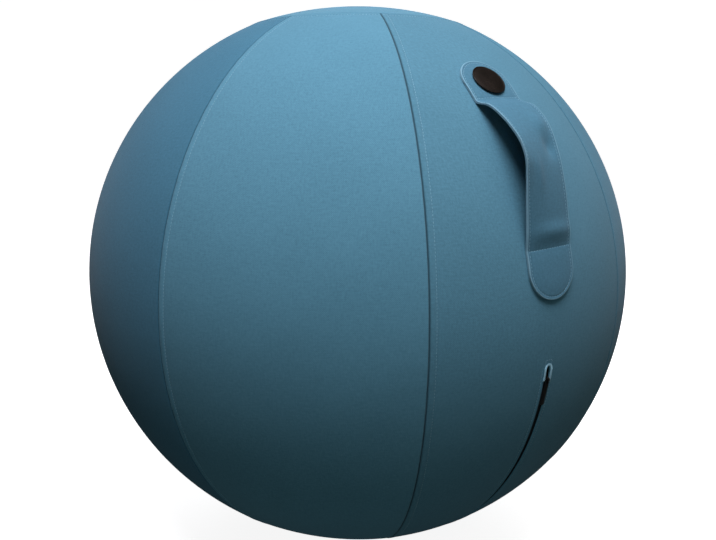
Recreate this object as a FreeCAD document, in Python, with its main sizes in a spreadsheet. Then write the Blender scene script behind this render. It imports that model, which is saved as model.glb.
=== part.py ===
import FreeCAD, Part
import math
import os
import Sketcher
from FreeCAD import Placement, Rotation, Vector

# Balance ball chair: an inflated ball in a sewn fabric cover, with a carry handle and a zip.
# Lengths are millimetres. The floor is Z = 0, the ball's centre is straight above the origin,
# and the handle and the zip lie on the front meridian, towards -Y.
# Latitudes are degrees above the ball's centre, drops are degrees below it.

# Driving dimensions: name, value, meaning
SIZES = [
    ("ball_radius", 325.0, "outside of the cover"),
    ("cover_thickness", 1.5, "woven cover with its backing"),
    ("floor_patch_radius", 55.0, "flat where the ball stands on the floor"),
    ("crown_drop", 4.0, "how much the top is flattened"),
    ("cap_angle", 22.5, "from the pole to the seam of the round end panels"),
    ("seam_gap", 0.2, "between the end panels and the gores"),
    ("seam_chamfer", 0.7, "edge of each panel, which makes the groove of a seam"),
    ("soft_gap", 0.3, "between soft layers that lie on each other"),
    ("thread_radius", 0.35, "sewing thread"),
    ("thread_lift", 0.05, "thread above the fabric"),
    ("stitch_end_gap", 0.35, "between the end of a stitched line and the line that it meets"),
    ("seam_stitch_offset", 6.5, "topstitching beside a seam"),
    ("bladder_wall", 1.2, "inflated inner ball"),
    ("handle_width", 57.0, "strap"),
    ("strap_ply", 1.1, "each of the strap's two layers"),
    ("ply_gap", 0.2, "between the two layers"),
    ("strap_stitch_inset", 3.0, "stitching inside the strap's edge"),
    ("upper_fold_latitude", 40.3, "where the strap leaves the cover"),
    ("lower_fold_latitude", 14.0, "where the strap meets the cover again"),
    ("upper_end_angle", 3.8, "from the upper fold to the centre of the round end"),
    ("lower_end_angle", 3.4, "from the lower fold to the centre of the round end"),
    ("upper_bend_angle", 4.5, "from the upper fold to the part that the hand holds"),
    ("lower_bend_angle", 10.0, "from the lower fold to the part that the hand holds"),
    ("strap_turn", 2.0, "how much the strap leans to the left, about the centre of its lower end"),
    ("arch_rise", 28.0, "crest of the free strap above its sewn ends"),
    ("badge_radius", 18.75, "round cap on the upper end of the strap"),
    ("badge_thickness", 2.4, "cap with its rim"),
    ("badge_rim_width", 2.0, "raised ring round the cap"),
    ("badge_rim_height", 0.4, "ring above the cap's field"),
    ("rivet_radius", 2.0, "post that holds the cap"),
    ("rivet_flange_radius", 7.0, "head of the rivet between strap and cover"),
    ("rivet_flange_thickness", 0.8, "head of the rivet"),
    ("rivet_clearance", 0.3, "round the post and the flange"),
    ("slit_top_drop", 5.7, "upper end of the slit over the zip"),
    ("slit_bottom_drop", 63.5, "lower end of the slit over the zip"),
    ("slit_width", 3.0, "opening between the two lips of the slit"),
    ("tape_half_width", 14.0, "outer edge of each zip tape from the middle"),
    ("tape_thickness", 0.6, "woven zip tape"),
    ("tape_overrun", 7.0, "tape beyond each end of the slit"),
    ("tape_step_gap", 1.0, "between the slider's side and the step of the tape"),
    ("tape_step_width", 2.8, "sloping step of the tape, down to the chain"),
    ("chain_depth", 2.3, "middle of the zip chain below the outer face of the tape"),
    ("coil_gap", 1.8, "between the two coils, where the slider's post runs"),
    ("coil_width", 2.2, "each coil"),
    ("coil_height", 2.2, "each coil"),
    ("slider_drop", 8.0, "middle of the slider when the zip is closed"),
    ("slider_length", 9.0, "along the zip"),
    ("slider_plate", 0.8, "upper and lower plate of the slider"),
    ("slider_flange", 1.0, "side flanges of the slider"),
    ("slider_clearance", 0.3, "between the slider and the zip chain"),
    ("slider_post_width", 1.2, "post that joins the two plates"),
    ("slider_post_length", 2.5, "post along the zip"),
    ("chain_end_drop", 60.0, "lower end of the zip chain"),
    ("stop_length", 3.0, "each stop along the zip"),
    ("stop_height", 2.6, "each stop across the chain"),
    ("bridge_width", 2.0, "loop on the slider that holds the pull"),
    ("bridge_radius", 2.2, "round end of the loop"),
    ("pivot_height", 1.4, "middle of the pull's pin above the cover"),
    ("pin_radius", 0.6, "pin of the pull"),
    ("pin_clearance", 0.3, "between the pin and the loop"),
    ("pull_length", 28.0, "from the pin to the tip"),
    ("pull_width", 4.6, "puller"),
    ("pull_thickness", 1.2, "puller"),
    ("pull_tine", 0.9, "each side of the fork that holds the pin"),
    ("pull_fork_depth", 4.2, "from the pin to the bottom of the fork"),
    ("pull_tip_gap", 0.45, "between the resting pull and the cover"),
    ("zip_stitch_offset", 6.0, "stitching beside the slit"),
    ("garage_half_width", 5.2, "welt round the upper end of the slit"),
    ("garage_opening", 2.9, "half the opening of the welt"),
    ("garage_legs", 15.0, "welt along both sides of the slit"),
    ("garage_tip", 3.0, "welt above the slit"),
    ("garage_thickness", 1.2, "welt"),
    ("recess_side_gap", 1.0, "bladder beside the zip tapes"),
    ("valve_bearing", 14.0, "valve to the right of the zip"),
    ("valve_drop", 34.0, "valve below the middle of the ball"),
    ("valve_recess_radius", 13.0, "pocket in the bladder round the plug"),
    ("valve_recess_depth", 3.5, "pocket in the bladder round the plug"),
    ("valve_seat_radius", 6.2, "sleeve of the valve"),
    ("valve_bore_radius", 4.0, "hole in the sleeve"),
    ("valve_seat_length", 14.0, "sleeve of the valve"),
    ("valve_flange_radius", 10.0, "flange welded inside the bladder"),
    ("valve_flange_thickness", 1.2, "flange welded inside the bladder"),
    ("plug_head_radius", 9.0, "head of the stopper"),
    ("plug_head_thickness", 2.4, "head of the stopper"),
    ("plug_stem_length", 11.0, "stem of the stopper"),
    ("plug_clearance", 0.2, "between the stem and the sleeve"),
    ("plug_taper", 0.5, "stem's end narrower than its top"),
]

# The strap's free arch: share of the way from the upper to the lower fold, then the heights of
# its left edge, middle and right edge as shares of the crest's rise
ARCH = [
    (0.0, 0.00, 0.00, 0.00),
    (0.1, 0.40, 0.36, 0.36),
    (0.2, 0.65, 0.54, 0.53),
    (0.3, 0.83, 0.63, 0.58),
    (0.4, 0.96, 0.64, 0.55),
    (0.5, 0.93, 0.59, 0.48),
    (0.6, 0.71, 0.48, 0.38),
    (0.7, 0.49, 0.36, 0.28),
    (0.8, 0.31, 0.24, 0.18),
    (0.9, 0.15, 0.12, 0.09),
    (1.0, 0.00, 0.00, 0.00),
]

# The eight gores, anticlockwise from the front as seen from above
GORE_NAMES = [
    "gore_front",
    "gore_front_right",
    "gore_right",
    "gore_back_right",
    "gore_back",
    "gore_back_left",
    "gore_left",
    "gore_front_left",
]
GORE_ANGLE = 360.0 / len(GORE_NAMES)

# How near a point must lie to a surface to count as on it
TOLERANCE = 0.001

X_AXIS = Vector(1, 0, 0)
Z_AXIS = Vector(0, 0, 1)
ORIGIN = Vector(0, 0, 0)

doc = FreeCAD.newDocument("balance_ball_chair")
sheet = doc.addObject("Spreadsheet::Sheet", "Sizes")
for row, (name, amount, meaning) in enumerate(SIZES, start=1):
    sheet.set("A%d" % row, name)
    sheet.set("B%d" % row, str(amount))
    sheet.set("C%d" % row, meaning)
    sheet.setAlias("B%d" % row, name)
doc.recompute()


def size(name):
    """One driving dimension as a number."""
    return float(sheet.get(name))


def number(formula):
    """The value of a formula over the sheet, such as 'Sizes.ball_radius / 2'."""
    return float(sheet.evalExpression(formula))


# Formulas that several pieces share
BALL = "Sizes.ball_radius"
COVER_INSIDE = "(Sizes.ball_radius - Sizes.cover_thickness)"
BLADDER = "(Sizes.ball_radius - Sizes.cover_thickness - Sizes.soft_gap)"
BLADDER_INSIDE = f"({BLADDER} - Sizes.bladder_wall)"
CENTRE_HEIGHT = "sqrt(Sizes.ball_radius^2 - Sizes.floor_patch_radius^2)"
HALF_GAP_ANGLE = "(Sizes.seam_gap / 2 / Sizes.ball_radius * 180 / pi)"
UPPER_FOLD = "Sizes.upper_fold_latitude"
LOWER_FOLD = "Sizes.lower_fold_latitude"
UPPER_END = "(Sizes.upper_fold_latitude + Sizes.upper_end_angle)"
LOWER_END = "(Sizes.lower_fold_latitude - Sizes.lower_end_angle)"
END_SEAM_ANGLE = f"(Sizes.cap_angle - {HALF_GAP_ANGLE})"
STRAP_TOP = "(Sizes.ball_radius + Sizes.soft_gap + 2 * Sizes.strap_ply + Sizes.ply_gap)"
TAPE_TOP = f"sqrt(({COVER_INSIDE} - Sizes.soft_gap)^2 - Sizes.tape_half_width^2)"
CHAIN = f"({TAPE_TOP} - Sizes.chain_depth)"
COIL_INNER = "(Sizes.coil_gap / 2)"
COIL_OUTER = "(Sizes.coil_gap / 2 + Sizes.coil_width)"
PLATE_INNER = "(Sizes.coil_height / 2 + Sizes.slider_clearance)"
PLATE_OUTER = f"({PLATE_INNER} + Sizes.slider_plate)"
PIVOT = "(Sizes.ball_radius + Sizes.pivot_height)"
DEGREES_PER_MM = "(180 / pi / Sizes.ball_radius)"
SLIDER_HALF_ANGLE = f"(Sizes.slider_length / 2 * {DEGREES_PER_MM})"
STOP_ANGLE = f"(Sizes.stop_length * {DEGREES_PER_MM})"
SLIDER_GAP_ANGLE = f"(Sizes.slider_clearance * {DEGREES_PER_MM})"
CHAIN_START_DROP = f"(Sizes.slider_drop - {SLIDER_HALF_ANGLE} - {SLIDER_GAP_ANGLE})"
TAPE_START_DROP = f"(Sizes.slit_top_drop - Sizes.tape_overrun * {DEGREES_PER_MM})"
TAPE_END_DROP = f"(Sizes.slit_bottom_drop + Sizes.tape_overrun * {DEGREES_PER_MM})"
RECESS_HALF_WIDTH = "(Sizes.tape_half_width + Sizes.recess_side_gap)"
RECESS_FLOOR = f"({CHAIN} - {PLATE_OUTER} - Sizes.slider_clearance)"
RECESS_START_DROP = f"({TAPE_START_DROP} - Sizes.recess_side_gap * {DEGREES_PER_MM})"
RECESS_END_DROP = f"({TAPE_END_DROP} + Sizes.recess_side_gap * {DEGREES_PER_MM})"

nodes = []


def as_node(piece, label):
    """Counts an object as one of the ball chair's pieces."""
    piece.Label = label
    nodes.append(piece)
    return piece


def new_body(name):
    return doc.addObject("PartDesign::Body", name)


def origin_plane(body, role):
    for feature in body.Origin.OriginFeatures:
        if feature.Role == role:
            return feature
    raise ValueError(role)


def fix(sketch, kind, places, formula):
    """Adds one driving constraint, bound to a formula."""
    index = sketch.addConstraint(Sketcher.Constraint(kind, *places, number(formula)))
    sketch.setExpression("Constraints[%d]" % index, formula)


def outline(body, name, role, corners, arcs=None):
    """A closed sketch in one of the body's own planes.

    corners are pairs of formulas. arcs says which sides are round: the number of the side that
    starts at that corner, with the formulas of its radius and of its centre's height on the
    sketch's vertical axis.
    """
    arcs = arcs or {}
    sketch = body.newObject("Sketcher::SketchObject", name)
    sketch.AttachmentSupport = [(origin_plane(body, role), "")]
    sketch.MapMode = "FlatFace"
    points = [Vector(number(across), number(up), 0) for across, up in corners]
    ends = []
    for index, start in enumerate(points):
        finish = points[(index + 1) % len(points)]
        if index not in arcs:
            geometry = sketch.addGeometry(Part.LineSegment(start, finish))
            ends.append((geometry, 1, 2))
            continue
        radius, centre_up = arcs[index]
        centre = Vector(0, number(centre_up), 0)
        from_angle = math.atan2(start.y - centre.y, start.x - centre.x)
        to_angle = math.atan2(finish.y - centre.y, finish.x - centre.x)
        turn = (to_angle - from_angle) % (2 * math.pi)
        circle = Part.Circle(centre, Z_AXIS, number(radius))
        if turn < math.pi:
            geometry = sketch.addGeometry(Part.ArcOfCircle(circle, from_angle, from_angle + turn))
            ends.append((geometry, 1, 2))
        else:
            geometry = sketch.addGeometry(Part.ArcOfCircle(circle, to_angle, from_angle))
            ends.append((geometry, 2, 1))
        fix(sketch, "Radius", (geometry,), radius)
    for index, (across, up) in enumerate(corners):
        geometry, start, finish = ends[index]
        following = ends[(index + 1) % len(corners)]
        sketch.addConstraint(
            Sketcher.Constraint("Coincident", geometry, finish, following[0], following[1])
        )
        fix(sketch, "DistanceX", (-1, 1, geometry, start), across)
        fix(sketch, "DistanceY", (-1, 1, geometry, start), up)
    return sketch


def turn_profile(body, sketch, axis, angle="360"):
    """Revolves a sketch about one of its own axes, evenly to both sides."""
    feature = body.newObject("PartDesign::Revolution", sketch.Name + "_turned")
    feature.Profile = sketch
    feature.ReferenceAxis = (sketch, [axis])
    feature.Midplane = True
    feature.setExpression("Angle", angle)
    doc.recompute()
    return feature


def put_at_centre(piece, tilt="0"):
    """Moves a piece's own origin to the ball's centre and tilts it about X."""
    piece.Placement = Placement(Vector(0, 0, number(CENTRE_HEIGHT)), Rotation(X_AXIS, number(tilt)))
    piece.setExpression("Placement.Base.z", CENTRE_HEIGHT)
    piece.setExpression("Placement.Rotation.Angle", tilt)


def round_piece(name, corners, arcs=None, latitude="90"):
    """A solid of revolution about the line from the ball's centre through the front meridian."""
    body = new_body(name)
    turn_profile(body, outline(body, name + "_profile", "XZ_Plane", corners, arcs), "V_Axis")
    put_at_centre(body, f"90 - {latitude}")
    return body


def zip_bar(name, corners, start_drop, end_drop):
    """A bar that follows the front meridian: its section is across the zip and out from the centre."""
    body = new_body(name)
    sketch = outline(body, name + "_section", "XY_Plane", corners)
    turn_profile(body, sketch, "H_Axis", f"{end_drop} - {start_drop}")
    put_at_centre(body, f"180 + ({start_drop} + {end_drop}) / 2")
    return body


def block(left, right, low, high):
    """Corners of a rectangle."""
    return [(left, low), (right, low), (right, high), (left, high)]


def boolean(kind, name, base, tool):
    piece = doc.addObject("Part::" + kind, name)
    piece.Base = base
    piece.Tool = tool
    return piece


def crown_radius(reach, rise):
    """Radius of the arc over a seam circle of the radius reach, which rises by rise to the pole."""
    return f"((({reach})^2 + ({rise})^2) / (2 * ({rise})))"


def on_sphere(radius, angle):
    """Corner at an angle from the upper pole, as formulas."""
    return (f"{radius} * sin(({angle}) * 1 deg)", f"{radius} * cos(({angle}) * 1 deg)")


def ball_profile(radius, inset):
    """Half outline of the whole ball, flattened at the pole and the floor and drawn in by inset."""
    seam = on_sphere(radius, "Sizes.cap_angle")
    pole = f"({BALL} - Sizes.crown_drop - {inset})"
    floor = f"({CENTRE_HEIGHT} - {inset})"
    corners = [
        ("0", pole),
        ("0", f"-{floor}"),
        (f"sqrt({radius}^2 - {floor}^2)", f"-{floor}"),
        seam,
    ]
    crown = crown_radius(seam[0], f"{pole} - {seam[1]}")
    return corners, {2: (radius, "0"), 3: (crown, f"{pole} - {crown}")}


def make_gore(index, label):
    """One of the eight long panels, a shell between the two round end panels."""
    body = new_body(label)
    top = f"Sizes.cap_angle + {HALF_GAP_ANGLE}"
    reach, height = on_sphere(BALL, top)
    inner_reach, inner_height = on_sphere(COVER_INSIDE, top)
    corners = [
        (f"-{reach}", height),
        (f"-{reach}", f"-{height}"),
        (f"-{inner_reach}", f"-{inner_height}"),
        (f"-{inner_reach}", inner_height),
    ]
    arcs = {0: (BALL, "0"), 2: (COVER_INSIDE, "0")}
    sketch = outline(body, label + "_profile", "YZ_Plane", corners, arcs)
    panel = turn_profile(body, sketch, "V_Axis", str(GORE_ANGLE))
    bevel(body, panel, on_outside)
    body.Placement = Placement(
        Vector(0, 0, number(CENTRE_HEIGHT)), Rotation(Z_AXIS, index * GORE_ANGLE)
    )
    body.setExpression("Placement.Base.z", CENTRE_HEIGHT)
    return body


def bevel(body, panel, wanted):
    """Chamfers the edges that wanted picks, so that each seam is a groove."""
    edges = ["Edge%d" % index for index, edge in enumerate(panel.Shape.Edges, start=1) if wanted(edge)]
    chamfer = body.newObject("PartDesign::Chamfer", panel.Name + "_chamfer")
    chamfer.Base = (panel, edges)
    chamfer.setExpression("Size", "Sizes.seam_chamfer")
    doc.recompute()


def on_outside(edge):
    """True for an edge that lies on the outside of the ball."""
    middle = edge.valueAt((edge.FirstParameter + edge.LastParameter) / 2)
    points = [middle] + [vertex.Point for vertex in edge.Vertexes]
    return all(abs(point.Length - size("ball_radius")) < TOLERANCE for point in points)


def is_seam_circle(edge):
    """True for the outer rim of a round end panel."""
    start = edge.Vertexes[0].Point
    reach = number(on_sphere(BALL, END_SEAM_ANGLE)[0])
    return edge.Closed and abs(math.hypot(start.x, start.y) - reach) < TOLERANCE


def make_front_gore(label):
    """The front panel, with the slit over the zip."""
    panel = make_gore(0, label + "_panel")
    slit = zip_bar(
        "slit",
        block(
            "-Sizes.slit_width / 2",
            "Sizes.slit_width / 2",
            f"{COVER_INSIDE} - Sizes.cover_thickness",
            f"{BALL} + Sizes.cover_thickness",
        ),
        "Sizes.slit_top_drop",
        "Sizes.slit_bottom_drop",
    )
    return boolean("Cut", "front_gore_with_slit", panel, slit)


def make_top_cap():
    """The round panel at the top, a little flatter than the ball."""
    seam = on_sphere(BALL, END_SEAM_ANGLE)
    inner_seam = on_sphere(COVER_INSIDE, END_SEAM_ANGLE)
    pole = f"({BALL} - Sizes.crown_drop)"
    inner_pole = f"({pole} - Sizes.cover_thickness)"
    crown = crown_radius(seam[0], f"{pole} - {seam[1]}")
    inner_crown = crown_radius(inner_seam[0], f"{inner_pole} - {inner_seam[1]}")
    corners = [("0", pole), seam, inner_seam, ("0", inner_pole)]
    arcs = {0: (crown, f"{pole} - {crown}"), 2: (inner_crown, f"{inner_pole} - {inner_crown}")}
    return end_panel("top_cap", corners, arcs)


def end_panel(name, corners, arcs):
    """A round panel at the top or the bottom, bevelled at its seam."""
    body = new_body(name)
    sketch = outline(body, name + "_profile", "XZ_Plane", corners, arcs)
    bevel(body, turn_profile(body, sketch, "V_Axis"), is_seam_circle)
    put_at_centre(body)
    return body


def make_base_panel():
    """The round panel at the bottom, pressed flat where it stands on the floor."""
    reach, height = on_sphere(BALL, END_SEAM_ANGLE)
    inner_reach, inner_height = on_sphere(COVER_INSIDE, END_SEAM_ANGLE)
    inner_floor = f"({CENTRE_HEIGHT} - Sizes.cover_thickness)"
    corners = [
        ("0", f"-{CENTRE_HEIGHT}"),
        ("Sizes.floor_patch_radius", f"-{CENTRE_HEIGHT}"),
        (reach, f"-{height}"),
        (inner_reach, f"-{inner_height}"),
        (f"sqrt({COVER_INSIDE}^2 - {inner_floor}^2)", f"-{inner_floor}"),
        ("0", f"-{inner_floor}"),
    ]
    return end_panel("base_panel", corners, {1: (BALL, "0"), 3: (COVER_INSIDE, "0")})


def thread(name, radius, sweep, centre, axis, start):
    """A round arc of sewing thread about an axis, from the direction start."""
    arc = doc.addObject("Part::Torus", name)
    arc.setExpression("Radius1", radius)
    arc.setExpression("Radius2", "Sizes.thread_radius")
    arc.setExpression("Angle3", sweep)
    side = axis.cross(start)
    place = Vector(0, 0, number(CENTRE_HEIGHT)) + centre
    arc.Placement = Placement(place, Rotation(start, side, axis, "ZXY"))
    return arc


def group(name, members):
    bundle = doc.addObject("Part::Compound", name)
    bundle.Links = members
    return bundle


def front(latitude):
    """Direction from the ball's centre to a point of the front meridian."""
    angle = math.radians(latitude)
    return Vector(0, -math.cos(angle), math.sin(angle))


def tangent_up(latitude):
    """Direction along the front meridian towards the top."""
    angle = math.radians(latitude)
    return Vector(0, math.sin(angle), math.cos(angle))


THREAD_ON_COVER = f"({BALL} + Sizes.thread_lift + Sizes.thread_radius)"
THREAD_ON_STRAP = f"({STRAP_TOP} + Sizes.thread_lift + Sizes.thread_radius)"
STITCH_END = "(Sizes.thread_radius + Sizes.stitch_end_gap)"


def make_seam_topstitching():
    """One line beside each long seam, and a ring beside each end panel's seam."""
    arcs = []
    ring_angle = f"(Sizes.cap_angle + Sizes.seam_stitch_offset * {DEGREES_PER_MM})"
    start_angle = f"({ring_angle} + {STITCH_END} * {DEGREES_PER_MM})"
    offset = size("seam_stitch_offset")
    for index in range(len(GORE_NAMES)):
        bearing = math.radians((index + 0.5) * GORE_ANGLE - 90)
        outwards = Vector(math.cos(bearing), math.sin(bearing), 0)
        axis = Z_AXIS.cross(outwards)
        angle = math.radians(number(start_angle))
        start = outwards * math.sin(angle) + Z_AXIS * math.cos(angle)
        arcs.append(
            thread(
                "seam_line_%d" % (index + 1),
                f"sqrt({THREAD_ON_COVER}^2 - Sizes.seam_stitch_offset^2)",
                f"180 - 2 * {start_angle}",
                axis * offset,
                axis,
                start,
            )
        )
    for end_name, side in (("top", 1), ("bottom", -1)):
        height = side * number(f"{THREAD_ON_COVER} * cos({ring_angle} * 1 deg)")
        radius = f"{THREAD_ON_COVER} * sin({ring_angle} * 1 deg)"
        ring = thread(end_name + "_seam_ring", radius, "360", Z_AXIS * height, Z_AXIS, X_AXIS)
        arcs.append(ring)
    return group("seam_topstitching_lines", arcs)


def make_zip_stitching():
    """The line that sews the zip tapes to the front gore, round the slit."""
    arcs = []
    offset = size("zip_stitch_offset")
    start_drop = f"(Sizes.slit_top_drop - Sizes.zip_stitch_offset * {DEGREES_PER_MM})"
    end_drop = f"(Sizes.slit_bottom_drop + Sizes.zip_stitch_offset * {DEGREES_PER_MM})"
    for side_name, side in (("left", -1), ("right", 1)):
        arcs.append(
            thread(
                "zip_line_" + side_name,
                f"sqrt({THREAD_ON_COVER}^2 - Sizes.zip_stitch_offset^2)",
                f"{end_drop} - {start_drop}",
                X_AXIS * side * offset,
                X_AXIS,
                front(-number(start_drop)),
            )
        )
    half = math.asin((offset - number(STITCH_END)) / number(THREAD_ON_COVER))
    for end_name, drop in (("top", start_drop), ("bottom", end_drop)):
        latitude = -number(drop)
        start = front(latitude) * math.cos(half) - X_AXIS * math.sin(half)
        sweep = str(math.degrees(2 * half))
        axis = tangent_up(latitude)
        arcs.append(thread("zip_bar_" + end_name, THREAD_ON_COVER, sweep, ORIGIN, axis, start))
    return group("zip_stitching_lines", arcs)


def make_strap_end_stitching(name, end_latitude, fold_latitude, side):
    """Stitching round one sewn end of the strap: half ring, two sides and a line at the fold."""
    inset = "(Sizes.handle_width / 2 - Sizes.strap_stitch_inset)"
    reach = number(inset)
    on_strap = number(THREAD_ON_STRAP)
    rise = math.sqrt(on_strap**2 - reach**2)
    end = number(end_latitude)
    fold = number(fold_latitude)
    arcs = [
        thread(
            name + "_round",
            inset,
            "180",
            front(end) * rise,
            front(end),
            X_AXIS * side,
        )
    ]
    for side_name, across in (("left", -1), ("right", 1)):
        arcs.append(
            thread(
                name + "_" + side_name,
                f"sqrt({THREAD_ON_STRAP}^2 - {inset}^2)",
                f"abs({end_latitude} - {fold_latitude})",
                X_AXIS * across * reach,
                X_AXIS,
                front(max(end, fold)),
            )
        )
    margin = number(STITCH_END)
    half = math.asin((reach - margin) / on_strap)
    latitude = fold + side * math.degrees(margin / on_strap)
    start = front(latitude) * math.cos(half) - X_AXIS * math.sin(half)
    sweep = str(math.degrees(2 * half))
    axis = tangent_up(latitude)
    arcs.append(thread(name + "_fold", THREAD_ON_STRAP, sweep, ORIGIN, axis, start))
    return arcs


def arch_section(latitude, heights):
    """Closed wire across the strap: heights are (left, middle, right) of its lower, then upper face."""
    half = size("handle_width") / 2
    out = front(latitude)
    rows = []
    for row in heights:
        points = []
        for across, height in zip((-half, 0.0, half), row):
            radius = size("ball_radius") + height
            points.append(X_AXIS * across + out * math.sqrt(radius**2 - across**2))
        rows.append(points)
    lower, upper = rows
    return Part.Wire(
        [
            Part.Arc(lower[0], lower[1], lower[2]).toShape(),
            Part.LineSegment(lower[2], upper[2]).toShape(),
            Part.Arc(upper[2], upper[1], upper[0]).toShape(),
            Part.LineSegment(upper[0], lower[0]).toShape(),
        ]
    )


def sector(low_latitude, high_latitude):
    """A wedge about the X axis that holds the strap between two latitudes."""
    half = size("handle_width")
    inner = front(low_latitude) * (size("ball_radius") / 2)
    outer = front(low_latitude) * (size("ball_radius") * 3 / 2)
    corners = [
        inner - X_AXIS * half,
        inner + X_AXIS * half,
        outer + X_AXIS * half,
        outer - X_AXIS * half,
    ]
    face = Part.Face(Part.makePolygon(corners + corners[:1]))
    return face.revolve(ORIGIN, -X_AXIS, high_latitude - low_latitude)


def strap_arch(low, high):
    """The whole free arch of one layer, between two heights below and above its own level."""
    upper_fold = size("upper_fold_latitude")
    lower_fold = size("lower_fold_latitude")
    sections = []
    for share, *rises in ARCH:
        latitude = upper_fold + share * (lower_fold - upper_fold)
        heights = [[rise * size("arch_rise") + level for rise in rises] for level in (low, high)]
        sections.append(arch_section(latitude, heights))
    return Part.makeLoft(sections, True, False)


def lean(piece):
    """Turns one of the strap's pieces about the line from the ball's centre through the lower end."""
    middle = Vector(0, 0, number(CENTRE_HEIGHT))
    turn = Placement(ORIGIN, Rotation(front(number(LOWER_END)), size("strap_turn")), middle)
    piece.setExpression("Placement.Rotation.Angle", None)
    piece.Placement = turn.multiply(piece.Placement)


def strap_end(low, high, end_latitude, fold_latitude, side):
    """One sewn end of a layer: a band of the ball's own curve with a half-round end."""
    half = size("handle_width") / 2
    end = number(end_latitude)
    out = front(end)
    up = tangent_up(end) * side
    base = out * (size("ball_radius") / 2)
    left = base - X_AXIS * half
    right = base + X_AXIS * half
    foot = -up * half
    tip = base + up * half
    edges = [
        Part.Arc(right, tip, left).toShape(),
        Part.LineSegment(left, left + foot).toShape(),
        Part.LineSegment(left + foot, right + foot).toShape(),
        Part.LineSegment(right + foot, right).toShape(),
    ]
    prism = Part.Face(Part.Wire(edges)).extrude(out * size("ball_radius"))
    radius = size("ball_radius")
    band = Part.makeSphere(radius + high).cut(Part.makeSphere(radius + low))
    fold = number(fold_latitude)
    far = end + side * GORE_ANGLE / 2
    return prism.common(sector(min(fold, far), max(fold, far))).common(band)


def drilled(shape, radius):
    """A layer with a hole for the rivet."""
    length = size("ball_radius") * 2
    return shape.cut(Part.makeCylinder(radius, length, ORIGIN, front(number(UPPER_END))))


def strap_layer(low, high, hole_radius):
    """Upper end with its bend, grip, and lower end with its bend, of one layer of the strap."""
    arch = strap_arch(low, high)
    upper_fold = size("upper_fold_latitude")
    lower_fold = size("lower_fold_latitude")
    grip_top = upper_fold - size("upper_bend_angle")
    grip_bottom = lower_fold + size("lower_bend_angle")
    upper_end = strap_end(low, high, UPPER_END, UPPER_FOLD, 1)
    lower_end = strap_end(low, high, LOWER_END, LOWER_FOLD, -1)
    upper_bend = arch.common(sector(grip_top, upper_fold))
    lower_bend = arch.common(sector(lower_fold, grip_bottom))
    upper = drilled(upper_end.fuse(upper_bend).removeSplitter(), hole_radius)
    grip = arch.common(sector(grip_bottom, grip_top))
    lower = lower_end.fuse(lower_bend).removeSplitter()
    return upper, grip, lower


def make_strap():
    """The carry strap: two layers, each in the three lengths that move differently."""
    ply = size("strap_ply")
    lower_level = size("soft_gap")
    upper_level = lower_level + ply + size("ply_gap")
    clearance = size("rivet_clearance")
    layers = [
        ("", upper_level, size("rivet_radius") + clearance),
        ("_lining", lower_level, size("rivet_flange_radius") + clearance),
    ]
    for suffix, level, hole_radius in layers:
        shapes = strap_layer(level, level + ply, hole_radius)
        for length_name, shape in zip(("handle_upper", "handle_grip", "handle_lower"), shapes):
            piece = doc.addObject("Part::Feature", length_name + suffix)
            piece.Shape = shape
            piece.Placement = Placement(Vector(0, 0, number(CENTRE_HEIGHT)), Rotation())
            lean(piece)
            as_node(piece, length_name + suffix)
    stitching = make_strap_end_stitching("upper_end", UPPER_END, UPPER_FOLD, 1)
    stitching += make_strap_end_stitching("lower_end", LOWER_END, LOWER_FOLD, -1)
    for line in stitching:
        lean(line)
    as_node(group("handle_end_stitching_lines", stitching), "handle_end_stitching")


def make_badge():
    """The plain round cap and the rivet that holds it to the strap."""
    under = f"({STRAP_TOP} + Sizes.thread_lift)"
    top = f"({under} + Sizes.badge_thickness)"
    field = f"({top} - Sizes.badge_rim_height)"
    field_radius = "(Sizes.badge_radius - Sizes.badge_rim_width)"
    bevel = "Sizes.badge_rim_height"
    cap = round_piece(
        "badge",
        [
            ("0", under),
            ("Sizes.badge_radius", under),
            ("Sizes.badge_radius", f"{top} - 2 * {bevel}"),
            (f"Sizes.badge_radius - {bevel}", top),
            (f"{field_radius} + {bevel}", top),
            (field_radius, field),
            ("0", field),
        ],
        latitude=UPPER_END,
    )
    lean(cap)
    as_node(cap, "badge_cap")
    flange_under = f"({BALL} + Sizes.soft_gap + Sizes.ply_gap)"
    flange_top = f"({flange_under} + Sizes.rivet_flange_thickness)"
    rivet = round_piece(
        "rivet",
        [
            ("0", flange_under),
            ("Sizes.rivet_flange_radius", flange_under),
            ("Sizes.rivet_flange_radius", flange_top),
            ("Sizes.rivet_radius", flange_top),
            ("Sizes.rivet_radius", under),
            ("0", under),
        ],
        latitude=UPPER_END,
    )
    lean(rivet)
    as_node(rivet, "badge_rivet")


def mirrored(corners):
    """The same outline on the other side of the zip, still anticlockwise."""
    return [(f"-({across})", out) for across, out in reversed(corners)]


def make_zip_tapes():
    """Two tapes under the edges of the slit, stepped down to the depth of the chain."""
    low_top = f"({TAPE_TOP} - Sizes.chain_depth + Sizes.tape_thickness / 2)"
    slider_side = f"({COIL_OUTER} + Sizes.slider_flange + 2 * Sizes.slider_clearance)"
    step_foot = f"({slider_side} + Sizes.tape_step_gap)"
    step_head = f"({step_foot} + Sizes.tape_step_width)"
    right = [
        ("Sizes.tape_half_width", TAPE_TOP),
        (step_head, TAPE_TOP),
        (step_foot, low_top),
        (COIL_OUTER, low_top),
        (COIL_OUTER, f"{low_top} - Sizes.tape_thickness"),
        (step_foot, f"{low_top} - Sizes.tape_thickness"),
        (step_head, f"{TAPE_TOP} - Sizes.tape_thickness"),
        ("Sizes.tape_half_width", f"{TAPE_TOP} - Sizes.tape_thickness"),
    ]
    for side_name, corners in (("right", right), ("left", mirrored(right))):
        tape = zip_bar("tape_" + side_name, corners, TAPE_START_DROP, TAPE_END_DROP)
        as_node(tape, "zip_tape_" + side_name)


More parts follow.
